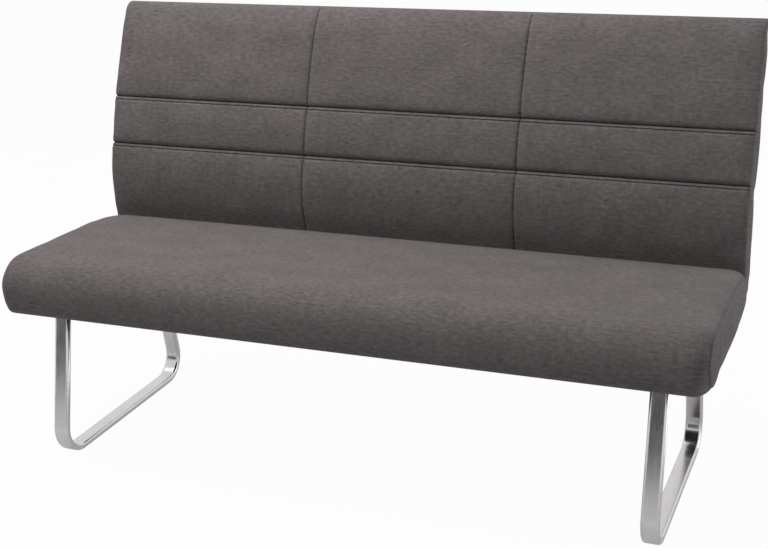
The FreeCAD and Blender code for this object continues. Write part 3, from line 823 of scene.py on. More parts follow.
@dataclass(frozen=True)
class Inflation:
    """Stuffing of a sewn cover: its cloth is blown up between the lines that hold it."""

    slack: float
    pressure: float = 1.0
    frames: int = 20
    quality: int = 6
    tension: float = 20.0
    bending: float = 0.8
    foam: float = 0.1
    smoothing: int = 3
    smoothness: float = 0.5

    def stuff(self, bm: BMesh, held: list[float], caps: list[float]) -> BMesh:
        """Stuff a sewn block.

        Args:
            bm: The block, freed here.
            held: For each vertex, 1 where it is sewn or nailed down and 0 where it is free.
            caps: For each vertex, how far it may move.

        Returns:
            The stuffed block.
        """
        mesh = bpy.data.meshes.new("cover_on_trial")
        bm.to_mesh(mesh)
        bm.free()
        self.swell(mesh, held, caps)
        stuffed = bmesh.new()
        stuffed.from_mesh(mesh)
        bpy.data.meshes.remove(mesh)
        free = [vert for vert, firm in zip(stuffed.verts, held) if firm == 0.0]
        axes = {"use_axis_x": True, "use_axis_y": True, "use_axis_z": True}
        for _ in range(self.smoothing):
            bmesh.ops.smooth_vert(stuffed, verts=free, factor=self.smoothness, **axes)
        return stuffed

    def swell(self, mesh: bpy.types.Mesh, held: list[float], caps: list[float]) -> None:
        """Blow up a closed cover.

        Args:
            mesh: The cover, moved here.
            held: For each vertex, 1 where it is sewn or nailed down and 0 where it is free.
            caps: For each vertex, how far it may move.
        """
        scene = bpy.context.scene
        cover = bpy.data.objects.new("cover_on_trial", mesh)
        scene.collection.objects.link(cover)
        group = cover.vertex_groups.new(name="held")
        for index, weight in enumerate(held):
            group.add([index], max(weight, self.foam), "REPLACE")
        self.add_cloth(cover, group.name)
        for number in range(1, self.frames + 1):
            scene.frame_set(number)
        blown = cover.evaluated_get(bpy.context.evaluated_depsgraph_get()).to_mesh()
        start = self.places(mesh)
        move = self.places(blown) - start
        length = np.linalg.norm(move, axis=1) + TINY
        cap = np.array(caps) + TINY
        move *= (cap * np.tanh(length / cap) / length)[:, None]
        furthest = [MILLIMETRES * size for size in (length.max(), np.linalg.norm(move, axis=1).max())]
        LOG.info("swell: largest free move %.1f mm, kept %.1f mm", *furthest)
        bpy.data.objects.remove(cover)
        scene.frame_set(1)
        mesh.vertices.foreach_set("co", (start + move).ravel())
        mesh.update()

    def add_cloth(self, cover: Piece, group: str) -> None:
        """Make a cover behave as cloth under pressure.

        Args:
            cover: The cover.
            group: Name of the vertex group that holds it.
        """
        cloth = cover.modifiers.new("cloth", "CLOTH")
        cloth.settings.vertex_group_mass = group
        cloth.settings.quality = self.quality
        cloth.settings.tension_stiffness = self.tension
        cloth.settings.compression_stiffness = self.tension
        cloth.settings.bending_stiffness = self.bending
        cloth.settings.shrink_min = -self.slack
        cloth.settings.use_pressure = True
        cloth.settings.uniform_pressure_force = self.pressure
        cloth.settings.effector_weights.gravity = 0.0
        cloth.collision_settings.use_collision = False
        cloth.point_cache.frame_start = 1
        cloth.point_cache.frame_end = self.frames

    @staticmethod
    def places(mesh: bpy.types.Mesh) -> np.ndarray:
        """Read where a mesh's vertices are.

        Args:
            mesh: The mesh.

        Returns:
            One row for each vertex.
        """
        numbers = np.empty(3 * len(mesh.vertices))
        mesh.vertices.foreach_get("co", numbers)
        return numbers.reshape(-1, 3)


@dataclass(frozen=True)
class EndStuffing:
    """How full one end of the seat is: its panel's bow, its drawn-in corner and its lifted lip."""

    bow: float
    corner_draw: float
    lip_lift: float


@dataclass
class SeatCushion:
    """Seat with one cover over nose and lip, and a sewn panel at each end."""

    cloth: Material
    nose: float = 0.070
    nose_fall: float = 0.069
    lip: float = 0.030
    lip_drop: float = 0.016
    lip_flat: float = 0.030
    lip_return: float = 0.025
    slope_drop: float = 0.0095
    rear_drop: float = 0.0230
    rear_run: float = 0.162
    rear_bow: float = 0.0045
    crown: float = 0.001
    end_radius: float = 0.031
    end_turn: float = math.radians(60)
    end_lines: tuple[float, ...] = (0.5, 0.75, 1.0)
    end_lowness: float = 0.7
    end_drop: float = 0.006
    end_level: float = 0.004
    end_margin: float = 0.003
    end_groove: float = 0.0016
    # Strength of the painted shade along the end seams
    end_seam_shade: float = 0.38
    left: EndStuffing = EndStuffing(bow=0.004, corner_draw=1.6, lip_lift=0.011)
    right: EndStuffing = EndStuffing(bow=0.013, corner_draw=2.6, lip_lift=0.001)
    front_draw: float = 1.0
    front_fade: int = 4
    corner_fade: int = 2
    drop_fade: int = 6
    lining_inset: float = 0.010
    clearance: float = 0.0003
    end_cap: float = 0.012
    top_cap: float = 0.004
    front_cap: float = 0.0005
    long_cells: int = 62
    lip_cells: int = 8
    seat_cells: int = 34
    high_cells: int = 10
    fill: float = 0.9
    inflation: Inflation = Inflation(slack=0.006)

    def __post_init__(self) -> None:
        """Work out the places that follow from the sizes and the frame."""
        self.low, self.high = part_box("seat_cover")
        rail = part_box("seat_rear_rail")[1]
        self.foot = self.low.z + self.lip_drop
        self.mouth = self.low.y + self.lip + self.lip_flat + self.lip_return
        self.pit = rail.x + self.clearance
        self.rear = rail.y + self.clearance
        self.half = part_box("seat_end_panel_right")[1].x
        self.round_start = self.half - self.end_radius * math.sin(self.end_turn)
        self.lining_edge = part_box("dust_cover")[1].x - self.lining_inset

    def outline(self) -> Outline:
        """Draw the section from the foot of the rear face over the top and the nose to the underside.

        Returns:
            The outline.
        """
        low, high = self.low, self.high
        line = Outline(Vector((high.y, self.foot)))
        line.marks["rear_foot"] = 0.0
        line.line(Vector((high.y, high.z - self.slope_drop - self.rear_drop)), "rear_top")
        line.bow(Vector((high.y - self.rear_run, high.z - self.slope_drop)), self.rear_bow)
        line.line(Vector((low.y + self.nose, high.z)))
        line.arc(Vector((low.y, high.z)), Vector((low.y, high.z - self.nose_fall)), "front_top")
        line.line(Vector((low.y, low.z + self.lip)))
        line.arc(Vector((low.y, low.z)), Vector((low.y + self.lip, low.z)), "front_foot")
        line.line(Vector((low.y + self.lip + self.lip_flat, low.z)))
        line.line(Vector((self.mouth, self.foot)))
        line.line(Vector((high.y, self.foot)), "end")
        return line

    def block(self) -> PaddedBlock:
        """Lay out the cushion's grid, with lines on the end roundings and on the sides of the frame.

        Returns:
            The block, not yet built.
        """
        line = self.outline()
        turned = [self.round_start + self.end_radius * math.sin(self.end_turn * i) for i in self.end_lines]
        half = [0.0] + spread(0.0, self.round_start, self.long_cells) + sorted(turned + [self.pit])
        length = line.marks["end"] - line.marks["front_foot"]
        mouth = 1 - (self.high.y - self.mouth) / length
        rear = 1 - (self.high.y - self.rear) / length
        depths = [0.0] + spread(0.0, mouth, self.lip_cells) + spread(mouth, rear, self.seat_cells) + [1.0]
        return PaddedBlock(line, depths, [0.0] + spread(0.0, 1.0, self.high_cells), mirrored(half))

    def build(self) -> Piece:
        """Build, stuff and dress the cushion.

        Returns:
            The cushion.
        """
        block = self.block()
        bm = block.build()
        self.round_ends(bm)
        block.round_out_ends(bm, {Side.LEFT: self.left.bow, Side.RIGHT: self.right.bow}, self.end_lowness)
        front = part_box("seat_front_rail")[0].y - self.clearance
        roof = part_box("spring_pad")[1].z + self.clearance
        corner = Vector((self.pit, self.rear))
        block.hollow(bm, [
            (self.foot, Vector((-self.pit, self.mouth)), corner),
            (self.foot - self.clearance, Vector((-self.pit, front)), corner),
            (roof, Vector((-self.pit, front)), corner),
        ])
        bm = self.inflation.stuff(bm, *self.holds(bm))
        sink_end_seams(bm, self.end_margin, self.end_groove, self.end_seam_shade)
        block.map_cloth(bm)
        crease_end_seams(bm)
        piece = add_piece("seat_cushion", bm, self.cloth)
        subdivided(piece)
        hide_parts("seat_cover", "seat_foam", "seat_end_panel_left", "seat_end_panel_right")
        return piece

    def round_ends(self, bm: BMesh) -> None:
        """Crown the top, round it down to the end seams and draw the front corners in.

        Args:
            bm: The block.
        """
        depth = bm.verts.layers.float["depth"]
        height = bm.verts.layers.float["height"]
        level = self.low.z + self.end_level
        for vert in bm.verts:
            end = self.right if vert.co.x > 0 else self.left
            lowness = 1 - vert[height]
            nearness = (1 - vert[depth]) ** self.front_fade
            fall = end_fall(vert.co.x, self.round_start, self.end_radius)
            drop = self.crown * (vert.co.x / self.half) ** 2 + fall
            lift = end.lip_lift * fall / self.end_radius * lowness * nearness
            vert.co.z += lift - drop * vert[height]
            draw = self.front_draw + end.corner_draw * lowness ** self.corner_fade
            vert.co.y += draw * fall * nearness
            outside = max(abs(vert.co.x) - self.lining_edge, 0.0) / (self.half - self.lining_edge)
            spare = max(vert.co.z - level, 0.0)
            vert.co.z -= min(self.end_drop * outside * lowness ** self.drop_fade, spare)

    def holds(self, bm: BMesh) -> tuple[list[float], list[float]]:
        """Tell where the cover is sewn or nailed down; it gives most in the middle of the top.

        Args:
            bm: The block.

        Returns:
            How firmly each vertex is held, and how far it may move.
        """
        held = []
        caps = []
        depth = bm.verts.layers.float["depth"]
        still = {Panel.FOOT.value, Panel.HOLLOW.value, Panel.REAR.value}
        for vert, kinds in zip(bm.verts, panels_at(bm)):
            held.append(1.0 if on_end_seam(kinds) or kinds & still else 0.0)
            rise = self.front_cap + self.top_cap * math.sin(math.pi * vert[depth])
            caps.append(self.end_cap if kinds & ENDS else rise)
        return held, caps


@dataclass
class BackCushion:
    """Leaning back: three columns and three rows on the front, a plain rear, a sewn panel at each end."""

    cloth: Material
    thread: Material
    thickness: float = 0.065
    upright: float = 0.157
    bend_radius: float = 0.235
    lean: float = math.radians(16)
    upper_run: float = 0.3445
    top_radius: float = 0.021
    top_pitch: float = math.radians(14)
    top_fade: int = 8
    end_radius: float = 0.007
    end_turn: float = math.radians(50)
    end_steps: int = 3
    end_bow: float = 0.003
    end_margin: float = 0.003
    end_groove: float = 0.0018
    # Strength of the painted shade along the end seams
    end_seam_shade: float = 0.38
    plump: float = 0.009
    plump_over: float = 0.020
    plump_under: float = 0.011
    plump_top: float = 0.060
    plump_foot: tuple[float, float] = (0.080, 0.130)
    plump_end: float = 0.6
    plump_end_reach: float = 0.014
    seams: tuple[float, float] = (0.230, 0.345)
    band: float = 0.0090
    columns: int = 3
    gap: float = 0.0005
    covered: float = 0.100
    ring_hold: float = 0.3
    plywood: float = 0.012
    bracket: float = 0.008
    clearance: float = 0.0003
    front_cap: float = 0.008
    end_cap: float = 0.006
    rear_cap: float = 0.0035
    droop: float = 0.0025
    droop_reach: float = 0.007
    groove: float = 0.0032
    groove_width: float = 0.0022
    stitch_groove: float = 0.0032
    stitch_width: float = 0.0014
    column_groove: float = 0.0040
    column_width: float = 0.0022
    column_dip: float = 0.0025
    column_reach: float = 0.011
    column_shift: float = 0.006
    shift_fade: int = 3
    # Width of the painted shade along each seam line of the front
    seam_shade_width: float = 0.0009
    over_rings: tuple[float, ...] = (-0.0024, -0.0012, 0.0, 0.0012, 0.0028, 0.0060, 0.0105, 0.0160)
    under_rings: tuple[float, ...] = (-0.0160, -0.0105, -0.0060, -0.0026, -0.0010, 0.0, 0.0010, 0.0024)
    column_rings: tuple[float, ...] = (-0.0060, -0.0030, -0.0013, 0.0013, 0.0030, 0.0060)
    notch: float = 0.003
    notch_width: float = 0.007
    notch_fade: int = 3
    pucker: float = 0.0007
    pucker_reach: float = 0.014
    column_waves: float = 55.0
    column_seeds: tuple[float, float] = (41.0, 3.1)
    row_waves: float = 48.0
    row_seeds: tuple[float, float, float] = (17.0, 9.7, 1.3)
    stitch: float = 0.0050
    stitch_half: float = 0.42
    stitch_sides: tuple[int, int] = (6, 4)
    thread_radius: float = 0.00045
    thread_lift: float = 0.4
    thread_from: float = -1.0
    column_cells: tuple[int, int] = (22, 42)
    row_cells: tuple[int, ...] = (19, 1, 9, 1, 19)
    depth_cells: tuple[int, ...] = (3, 2, 1)
    slot_cells: int = 13
    fill: float = 0.85
    inflation: Inflation = Inflation(slack=0.009)

    def __post_init__(self) -> None:
        """Work out the places that follow from the sizes and the frame."""
        self.top_run = self.upright + self.bend_radius * self.lean + self.upper_run
        self.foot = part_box("back_cover_rear")[0].z
        self.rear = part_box("seat_cover")[1].y + self.gap + self.thickness
        self.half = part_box("back_side_panel_right")[1].x
        self.round_start = self.half - self.end_radius * math.sin(self.end_turn)
        self.column = self.half / self.columns
        self.upper_lines = [seam + self.band / 2 for seam in self.seams]
        self.lower_lines = [seam - self.band / 2 for seam in self.seams]
        self.lines = self.upper_lines + self.lower_lines
        self.slot_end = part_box("back_panel")[1].x + self.clearance

    def bent(self, spot: Vector) -> Vector:
        """Bend the flat slab to the back's lean.

        Args:
            spot: A spot on the slab, whose height is the run up the rear face.

        Returns:
            Its place on the bench.
        """
        turn = min(max(spot.z - self.upright, 0.0) / self.bend_radius, self.lean)
        rest = max(spot.z - self.upright - self.bend_radius * self.lean, 0.0)
        y = self.rear + self.bend_radius * (1 - math.cos(turn)) + rest * math.sin(turn)
        z = self.foot + min(spot.z, self.upright) + self.bend_radius * math.sin(turn) + rest * math.cos(turn)
        return Vector((spot.x, y + spot.y * math.cos(turn), z - spot.y * math.sin(turn)))

    def outline(self) -> Outline:
        """Draw the section of the flat slab, with its rear face at zero and the front before it.

        Returns:
            The outline.
        """
        radius = self.top_radius
        crest = self.top_run + radius
        shoulder_depth = radius + radius * math.cos(self.top_pitch)
        shoulder = self.top_run - radius * math.sin(self.top_pitch)
        corner_depth = shoulder_depth - (crest - shoulder) * math.tan(self.top_pitch)
        line = Outline(Vector((0.0, 0.0)))
        line.marks["rear_foot"] = 0.0
        line.line(Vector((0.0, self.top_run)))
        line.arc(Vector((0.0, crest)), Vector((-radius, crest)), "rear_top")
        line.arc(Vector((-corner_depth, crest)), Vector((-shoulder_depth, shoulder)), "front_top")
        line.line(Vector((-self.thickness, self.upper_lines[1])))
        line.line(Vector((-self.thickness, 0.0)), "front_foot")
        line.line(Vector((0.0, 0.0)), "end")
        return line

    def block(self) -> PaddedBlock:
        """Lay out the slab's grid, with lines on the seams and on the sides of the slot.

        Returns:
            The block, not yet built.
        """
        line = self.outline()
        inner, outer = self.column_cells
        turns = spread(0.0, self.end_turn, self.end_steps)
        turned = [self.round_start + self.end_radius * math.sin(turn) for turn in turns]
        half = [0.0] + spread(0.0, self.column, inner) + spread(self.column, self.round_start, outer)
        half += sorted(turned + [self.slot_end])
        height = line.marks["front_foot"] - line.marks["front_top"]
        heights = [0.0]
        for stop, cells in zip([*sorted(self.lines), height], self.row_cells):
            heights += spread(heights[-1], stop / height, cells)
        depths = [0.0]
        for stop, cells in zip([*self.slot_depths(), 0.0], self.depth_cells):
            depths += spread(depths[-1], 1 - stop / self.thickness, cells)
        return PaddedBlock(line, depths, heights, mirrored(half))

    def build(self) -> list[Piece]:
        """Build, stuff, sew and dress the cushion and its stitching.

        Returns:
            The cushion and the stitching.
        """
        block = self.block()
        bm = block.build()
        self.round_ends(bm)
        block.round_out_ends(bm, {side: self.end_bow for side in Side})
        front, rear = self.slot_depths()
        low = Vector((-self.slot_end, -front))
        high = Vector((self.slot_end, -rear))
        roof = self.run_of(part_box("back_panel")[1].z) + self.clearance
        block.hollow(bm, [(run, low, high) for run in [0.0] + spread(0.0, roof, self.slot_cells)])
        bm = self.inflation.stuff(bm, *self.holds(bm))
        sink_end_seams(bm, self.end_margin, self.end_groove, self.end_seam_shade)
        self.sew(bm)
        block.map_cloth(bm)
        crease_end_seams(bm)
        stitches = self.stitching(bm)
        for vert in bm.verts:
            vert.co = self.bent(vert.co)
        piece = add_piece("back_cushion", bm, self.cloth)
        subdivided(piece)
        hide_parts("back_cover_front", "back_cover_rear", "back_foam", "back_wadding")
        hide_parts("back_side_panel_left", "back_side_panel_right")
        return [piece, stitches]

    def slot_depths(self) -> tuple[float, float]:
        """Find the slot that the plywood and the brackets behind it stand in.

        Returns:
            How far its front and its rear lie before the cushion's rear face.
        """
        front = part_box("back_panel")[0].y
        rear = front + self.plywood + self.bracket
        return self.rear - front + self.clearance, self.rear - rear - self.clearance

    def run_of(self, height: float) -> float:
        """Measure up the lean to the plywood's top.

        Args:
            height: Height of its highest corner.

        Returns:
            The run up the cushion's rear face.
        """
        turned = self.upright + self.bend_radius * self.lean
        knee = self.bent(Vector((0.0, -self.slot_depths()[0] + self.clearance, turned)))
        return turned + (height - knee.z) / math.cos(self.lean)

    def round_ends(self, bm: BMesh) -> None:
        """Round the front, top and rear down to the end seams.

        Args:
            bm: The flat slab.
        """
        depth = bm.verts.layers.float["depth"]
        height = bm.verts.layers.float["height"]
        for vert in bm.verts:
            fall = end_fall(vert.co.x, self.round_start, self.end_radius)
            vert.co.y += fall * (1 - 2 * vert[depth])
            vert.co.z -= fall * vert[height] ** self.top_fade

    def holds(self, bm: BMesh) -> tuple[list[float], list[float]]:
        """Tell where the cover is sewn or nailed down.

        Args:
            bm: The flat slab.

        Returns:
            How firmly each vertex is held, and how far it may move.
        """
        held = []
        caps = []
        still = {Panel.FOOT.value, Panel.HOLLOW.value, Panel.TOP.value}
        for vert, kinds in zip(bm.verts, panels_at(bm)):
            front = Panel.FRONT.value in kinds
            seam = front and any(abs(vert.co.z - line) < LINE_REACH for line in self.lines)
            covered = front and vert.co.z < self.covered
            firm = seam or covered or bool(kinds & still)
            held.append(1.0 if firm else self.ring_hold if on_end_seam(kinds) else 0.0)
            caps.append(self.end_cap if kinds & ENDS else self.front_cap if front else self.rear_cap)
        return held, caps

    def sew(self, bm: BMesh) -> None:
        """Draw the cover in along its seams, with fine rings beside each line, and paint shade along the
        front's seam lines.

        Args:
            bm: The flat slab, stuffed.
        """
        for line in self.upper_lines:
            self.cut_rings(bm, 2, line, self.over_rings)
        for line in self.lower_lines:
            self.cut_rings(bm, 2, line, self.under_rings)
        for line in (-self.column, self.column):
            self.cut_rings(bm, 0, line, self.column_rings)
        depth = bm.verts.layers.float["depth"]
        sewn = bm.verts.layers.float[SEAM_SHADE_LAYER]
        for vert, kinds in zip(bm.verts, panels_at(bm)):
            if Panel.FRONT.value in kinds:
                self.sew_front(vert, sewn)
            if kinds & ENDS:
                nearest = min(abs(vert.co.z - seam) for seam in self.seams)
                drawn = self.notch * bell(nearest, self.notch_width) * (1 - vert[depth]) ** self.notch_fade
                vert.co.x -= math.copysign(drawn, vert.co.x)
            inside = max(1 - abs(vert.co.x / self.half) ** self.shift_fade, 0.0)
            vert.co.x += self.column_shift * inside

    def sew_front(self, vert: BMVert, sewn: BMLayer) -> None:
        """Draw one vertex of the front in, or let it stand out on its pillow, and paint shade on it near a
        seam line.

        Args:
            vert: The vertex, moved here.
            sewn: The layer of painted shade that darkens the cloth along the seam lines.
        """
        x, _, run = vert.co
        above = min(abs(run - line - self.droop_reach) for line in self.upper_lines)
        nearest = min(abs(offset) for offset in [run - line for line in self.lines] + [abs(x) - self.column])
        # Painted shade along the seam lines
        vert[sewn] = max(vert[sewn], bell(nearest, self.seam_shade_width))
        vert.co.y += self.seam_depth(x, run) - self.plumpness(x, run)
        vert.co.z -= self.droop * bell(above, self.droop_reach)

    @staticmethod
    def cut_rings(bm: BMesh, axis: int, place: float, offsets: Iterable[float]) -> None:
        """Cut rings round the slab beside a line across one axis.

        Args:
            bm: The slab.
            axis: The axis that the rings cross.
            place: The line's place on that axis.
            offsets: Distances of the rings from the line.
        """
        normal = Vector((0, 0, 0))
        normal[axis] = 1.0
        for offset in offsets:
            spot = normal * (place + offset)
            geometry = [*bm.verts, *bm.edges, *bm.faces]
            bmesh.ops.bisect_plane(bm, geom=geometry, dist=CUT_REACH, plane_co=spot, plane_no=normal)

    def plumpness(self, x: float, run: float) -> float:
        """How far the pillows of the rows stand out at a place on the front.

        Args:
            x: Place along the bench.
            run: Run up the front.

        Returns:
            The height over the seams, rounded towards every edge of a pillow.
        """
        above = [(run - line) / self.plump_over for line in self.upper_lines]
        seam = min(max(share, -share * self.plump_over / self.plump_under) for share in above)
        low, full = self.plump_foot
        top = self.top_run + self.top_radius - run
        shares = [seam, top / self.plump_top, (run - low) / (full - low)]
        rise = math.prod(quarter_round(share) for share in shares)
        end = quarter_round((self.half - abs(x)) / self.plump_end_reach)
        return self.plump * rise * (self.plump_end + (1 - self.plump_end) * end)

    def seam_depth(self, x: float, run: float) -> float:
        """How far the front is drawn in by its seams and their puckers at a place on it.

        Args:
            x: Place along the bench.
            run: Run up the front.

        Returns:
            The depth.
        """
        side, turn = self.column_seeds
        row, over, under = self.row_seeds
        upright = abs(abs(x) - self.column)
        depth = self.column_groove * bell(upright, self.column_width)
        depth += self.column_dip * bell(upright, self.column_reach)
        ripple = noise.noise(Vector((side * math.copysign(1, x), run * self.column_waves, turn)))
        depth += self.pucker * ripple * math.exp(-upright / self.pucker_reach)
        for upper, lower in zip(self.upper_lines, self.lower_lines):
            depth += self.groove * bell(run - upper, self.groove_width)
            depth += self.stitch_groove * bell(run - lower, self.stitch_width)
            beside = max(run - upper, lower - run, 0.0)
            ripple = noise.noise(Vector((x * self.row_waves, row * upper, over if run > upper else under)))
            depth += self.pucker * ripple * math.exp(-beside / self.pucker_reach)
        return depth

    def stitching(self, bm: BMesh) -> Piece:
        """Lay the thread of the second line of each cross seam in its groove.

        Args:
            bm: The flat slab, sewn.

        Returns:
            The stitches, bent with the back.
        """
        tree = BVHTree.FromBMesh(bm)
        around, along = self.stitch_sides
        bead = bmesh.new()
        bmesh.ops.create_uvsphere(bead, u_segments=around, v_segments=along, radius=1.0)
        one = bpy.data.meshes.new("one_stitch")
        bead.to_mesh(one)
        bead.free()
        threads = bmesh.new()
        reach = self.half - self.end_radius
        shape = (self.stitch_half * self.stitch, self.thread_radius, self.thread_radius, 1.0)
        lift = Vector((0, self.thread_lift * self.thread_radius, 0))
        for line in self.lower_lines:
            for index in range(int(2 * reach / self.stitch)):
                x = -reach + (index + 0.5) * self.stitch
                spot = tree.ray_cast(Vector((x, self.thread_from, line)), Vector((0, 1, 0)))[0]
                laid = Matrix.Translation(spot - lift) @ Matrix.Diagonal(shape)
                one.transform(laid)
                threads.from_mesh(one)
                one.transform(laid.inverted())
        bpy.data.meshes.remove(one)
        for vert in threads.verts:
            vert.co = self.bent(vert.co)
        return add_piece("back_stitching", threads, self.thread)


@dataclass
class SledLeg:
    """One loop of flat tube: front leg, runner and rear leg."""

    side: Side
    steel: Material
    lean: float = 0.20
    bend: float = 0.058
    edge: float = 0.0064
    edge_steps: int = 5
    setback: float = 0.0295
    length: float = 0.534
    depth: float = 0.015
    arc_steps: int = 16

    def build(self) -> Piece:
        """Sweep the tube's section along the loop.

        Returns:
            The tube.
        """
        node = "leg_loop_" + self.side.name.lower()
        low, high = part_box(node)
        spare = self.depth
        rise = high.z + spare - (low.z + self.depth / 2)
        turn = math.pi / 2 + math.atan(self.lean)
        inset = self.bend * math.tan(turn / 2)
        leg = math.hypot(rise, rise * self.lean) - inset
        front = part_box("seat_cover")[0].y + self.setback + self.lean * rise
        position = Vector(((low.x + high.x) / 2, front, high.z + spare))
        bm, cap = self.section(high.x - low.x)
        place = Matrix.Translation(position) @ Matrix.Rotation(-math.atan(self.lean), 4, "X")
        bmesh.ops.transform(bm, matrix=place, verts=bm.verts)
        heading = -turn
        cap, position = self.advance(bm, cap, position, heading, leg)
        for straight in (self.length - 2 * inset, leg):
            cap, position = self.swing(bm, cap, position, heading, turn)
            heading += turn
            cap, position = self.advance(bm, cap, position, heading, straight)
        geometry = [*bm.verts, *bm.edges, *bm.faces]
        level = {"plane_co": (0, 0, high.z), "plane_no": (0, 0, 1)}
        cut = bmesh.ops.bisect_plane(bm, geom=geometry, clear_outer=True, **level)
        rims = [part for part in cut["geom_cut"] if isinstance(part, BMEdge)]
        bmesh.ops.holes_fill(bm, edges=rims, sides=0)
        bmesh.ops.recalc_face_normals(bm, faces=bm.faces)
        self.map_tube(bm)
        piece = add_piece(node.replace("loop", "tube"), bm, self.steel)
        piece.modifiers.new("normals", "WEIGHTED_NORMAL").keep_sharp = True
        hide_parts(node)
        return piece

    def section(self, width: float) -> tuple[BMesh, BMFace]:
        """Draw the tube's section, with its way round kept on each vertex.

        Args:
            width: Width of the tube.

        Returns:
            A new mesh with the section, and the section's face.
        """
        bm = bmesh.new()
        bmesh.ops.create_grid(bm, x_segments=1, y_segments=1, size=0.5)
        bmesh.ops.scale(bm, vec=(width, self.depth, 1.0), verts=bm.verts)
        rounding = {"offset": self.edge, "segments": self.edge_steps, "profile": 0.5}
        bmesh.ops.bevel(bm, geom=bm.verts[:], affect="VERTICES", material=-1, **rounding)
        cap = bm.faces[:][0]
        girth = bm.verts.layers.float.new("girth")
        bm.verts.layers.float.new("run")
        length = 0.0
        for loop in cap.loops:
            loop.vert[girth] = length
            length += loop.edge.calc_length()
        return bm, cap

    @staticmethod
    def grow(bm: BMesh, cap: BMFace, step: float) -> BMFace:
        """Extrude the tube's end and count its way along the loop.

        Args:
            bm: The tube.
            cap: Its end face.
            step: How far the new end will be moved.

        Returns:
            The new end face, still in the old place.
        """
        run = bm.verts.layers.float["run"]
        grown = extruded(bm, [cap])[0]
        for vert in grown.verts:
            vert[run] += step
        return grown

    def advance(
        self, bm: BMesh, cap: BMFace, position: Vector, heading: float, length: float
    ) -> tuple[BMFace, Vector]:
        """Take the tube's end straight on.

        Args:
            bm: The tube.
            cap: Its end face.
            position: Middle of that face.
            heading: Direction in the upright plane, in radians from the rear.
            length: How far to go.

        Returns:
            The new end face and its middle.
        """
        grown = self.grow(bm, cap, length)
        way = Vector((0.0, math.cos(heading), math.sin(heading))) * length
        bmesh.ops.translate(bm, vec=way, verts=grown.verts)
        return grown, position + way

    def swing(
        self, bm: BMesh, cap: BMFace, position: Vector, heading: float, turn: float
    ) -> tuple[BMFace, Vector]:
        """Take the tube's end round a bend.

        Args:
            bm: The tube.
            cap: Its end face.
            position: Middle of that face.
            heading: Direction in the upright plane before the bend.
            turn: Angle of the bend.

        Returns:
            The new end face and its middle.
        """
        centre = position + Vector((0.0, -math.sin(heading), math.cos(heading))) * self.bend
        rotation = Matrix.Rotation(turn / self.arc_steps, 3, "X")
        for _ in range(self.arc_steps):
            cap = self.grow(bm, cap, self.bend * turn / self.arc_steps)
            bmesh.ops.rotate(bm, cent=centre, matrix=rotation, verts=cap.verts)
            position = centre + rotation @ (position - centre)
        return cap, position

    @staticmethod
    def map_tube(bm: BMesh) -> None:
        """Map the tube across and along, with the wrap kept whole.

        Args:
            bm: The tube.
        """
        girth = bm.verts.layers.float["girth"]
        run = bm.verts.layers.float["run"]
        around = max(vert[girth] for vert in bm.verts)
        flat = bm.loops.layers.uv.new(TUBE_MAP)
        for face in bm.faces:
            furthest = max(loop.vert[girth] for loop in face.loops)
            for loop in face.loops:
                place = loop.vert[girth]
                wrapped = furthest - place > around / 2 and len(face.verts) == 4
                loop[flat].uv = (place + around if wrapped else place, loop.vert[run])


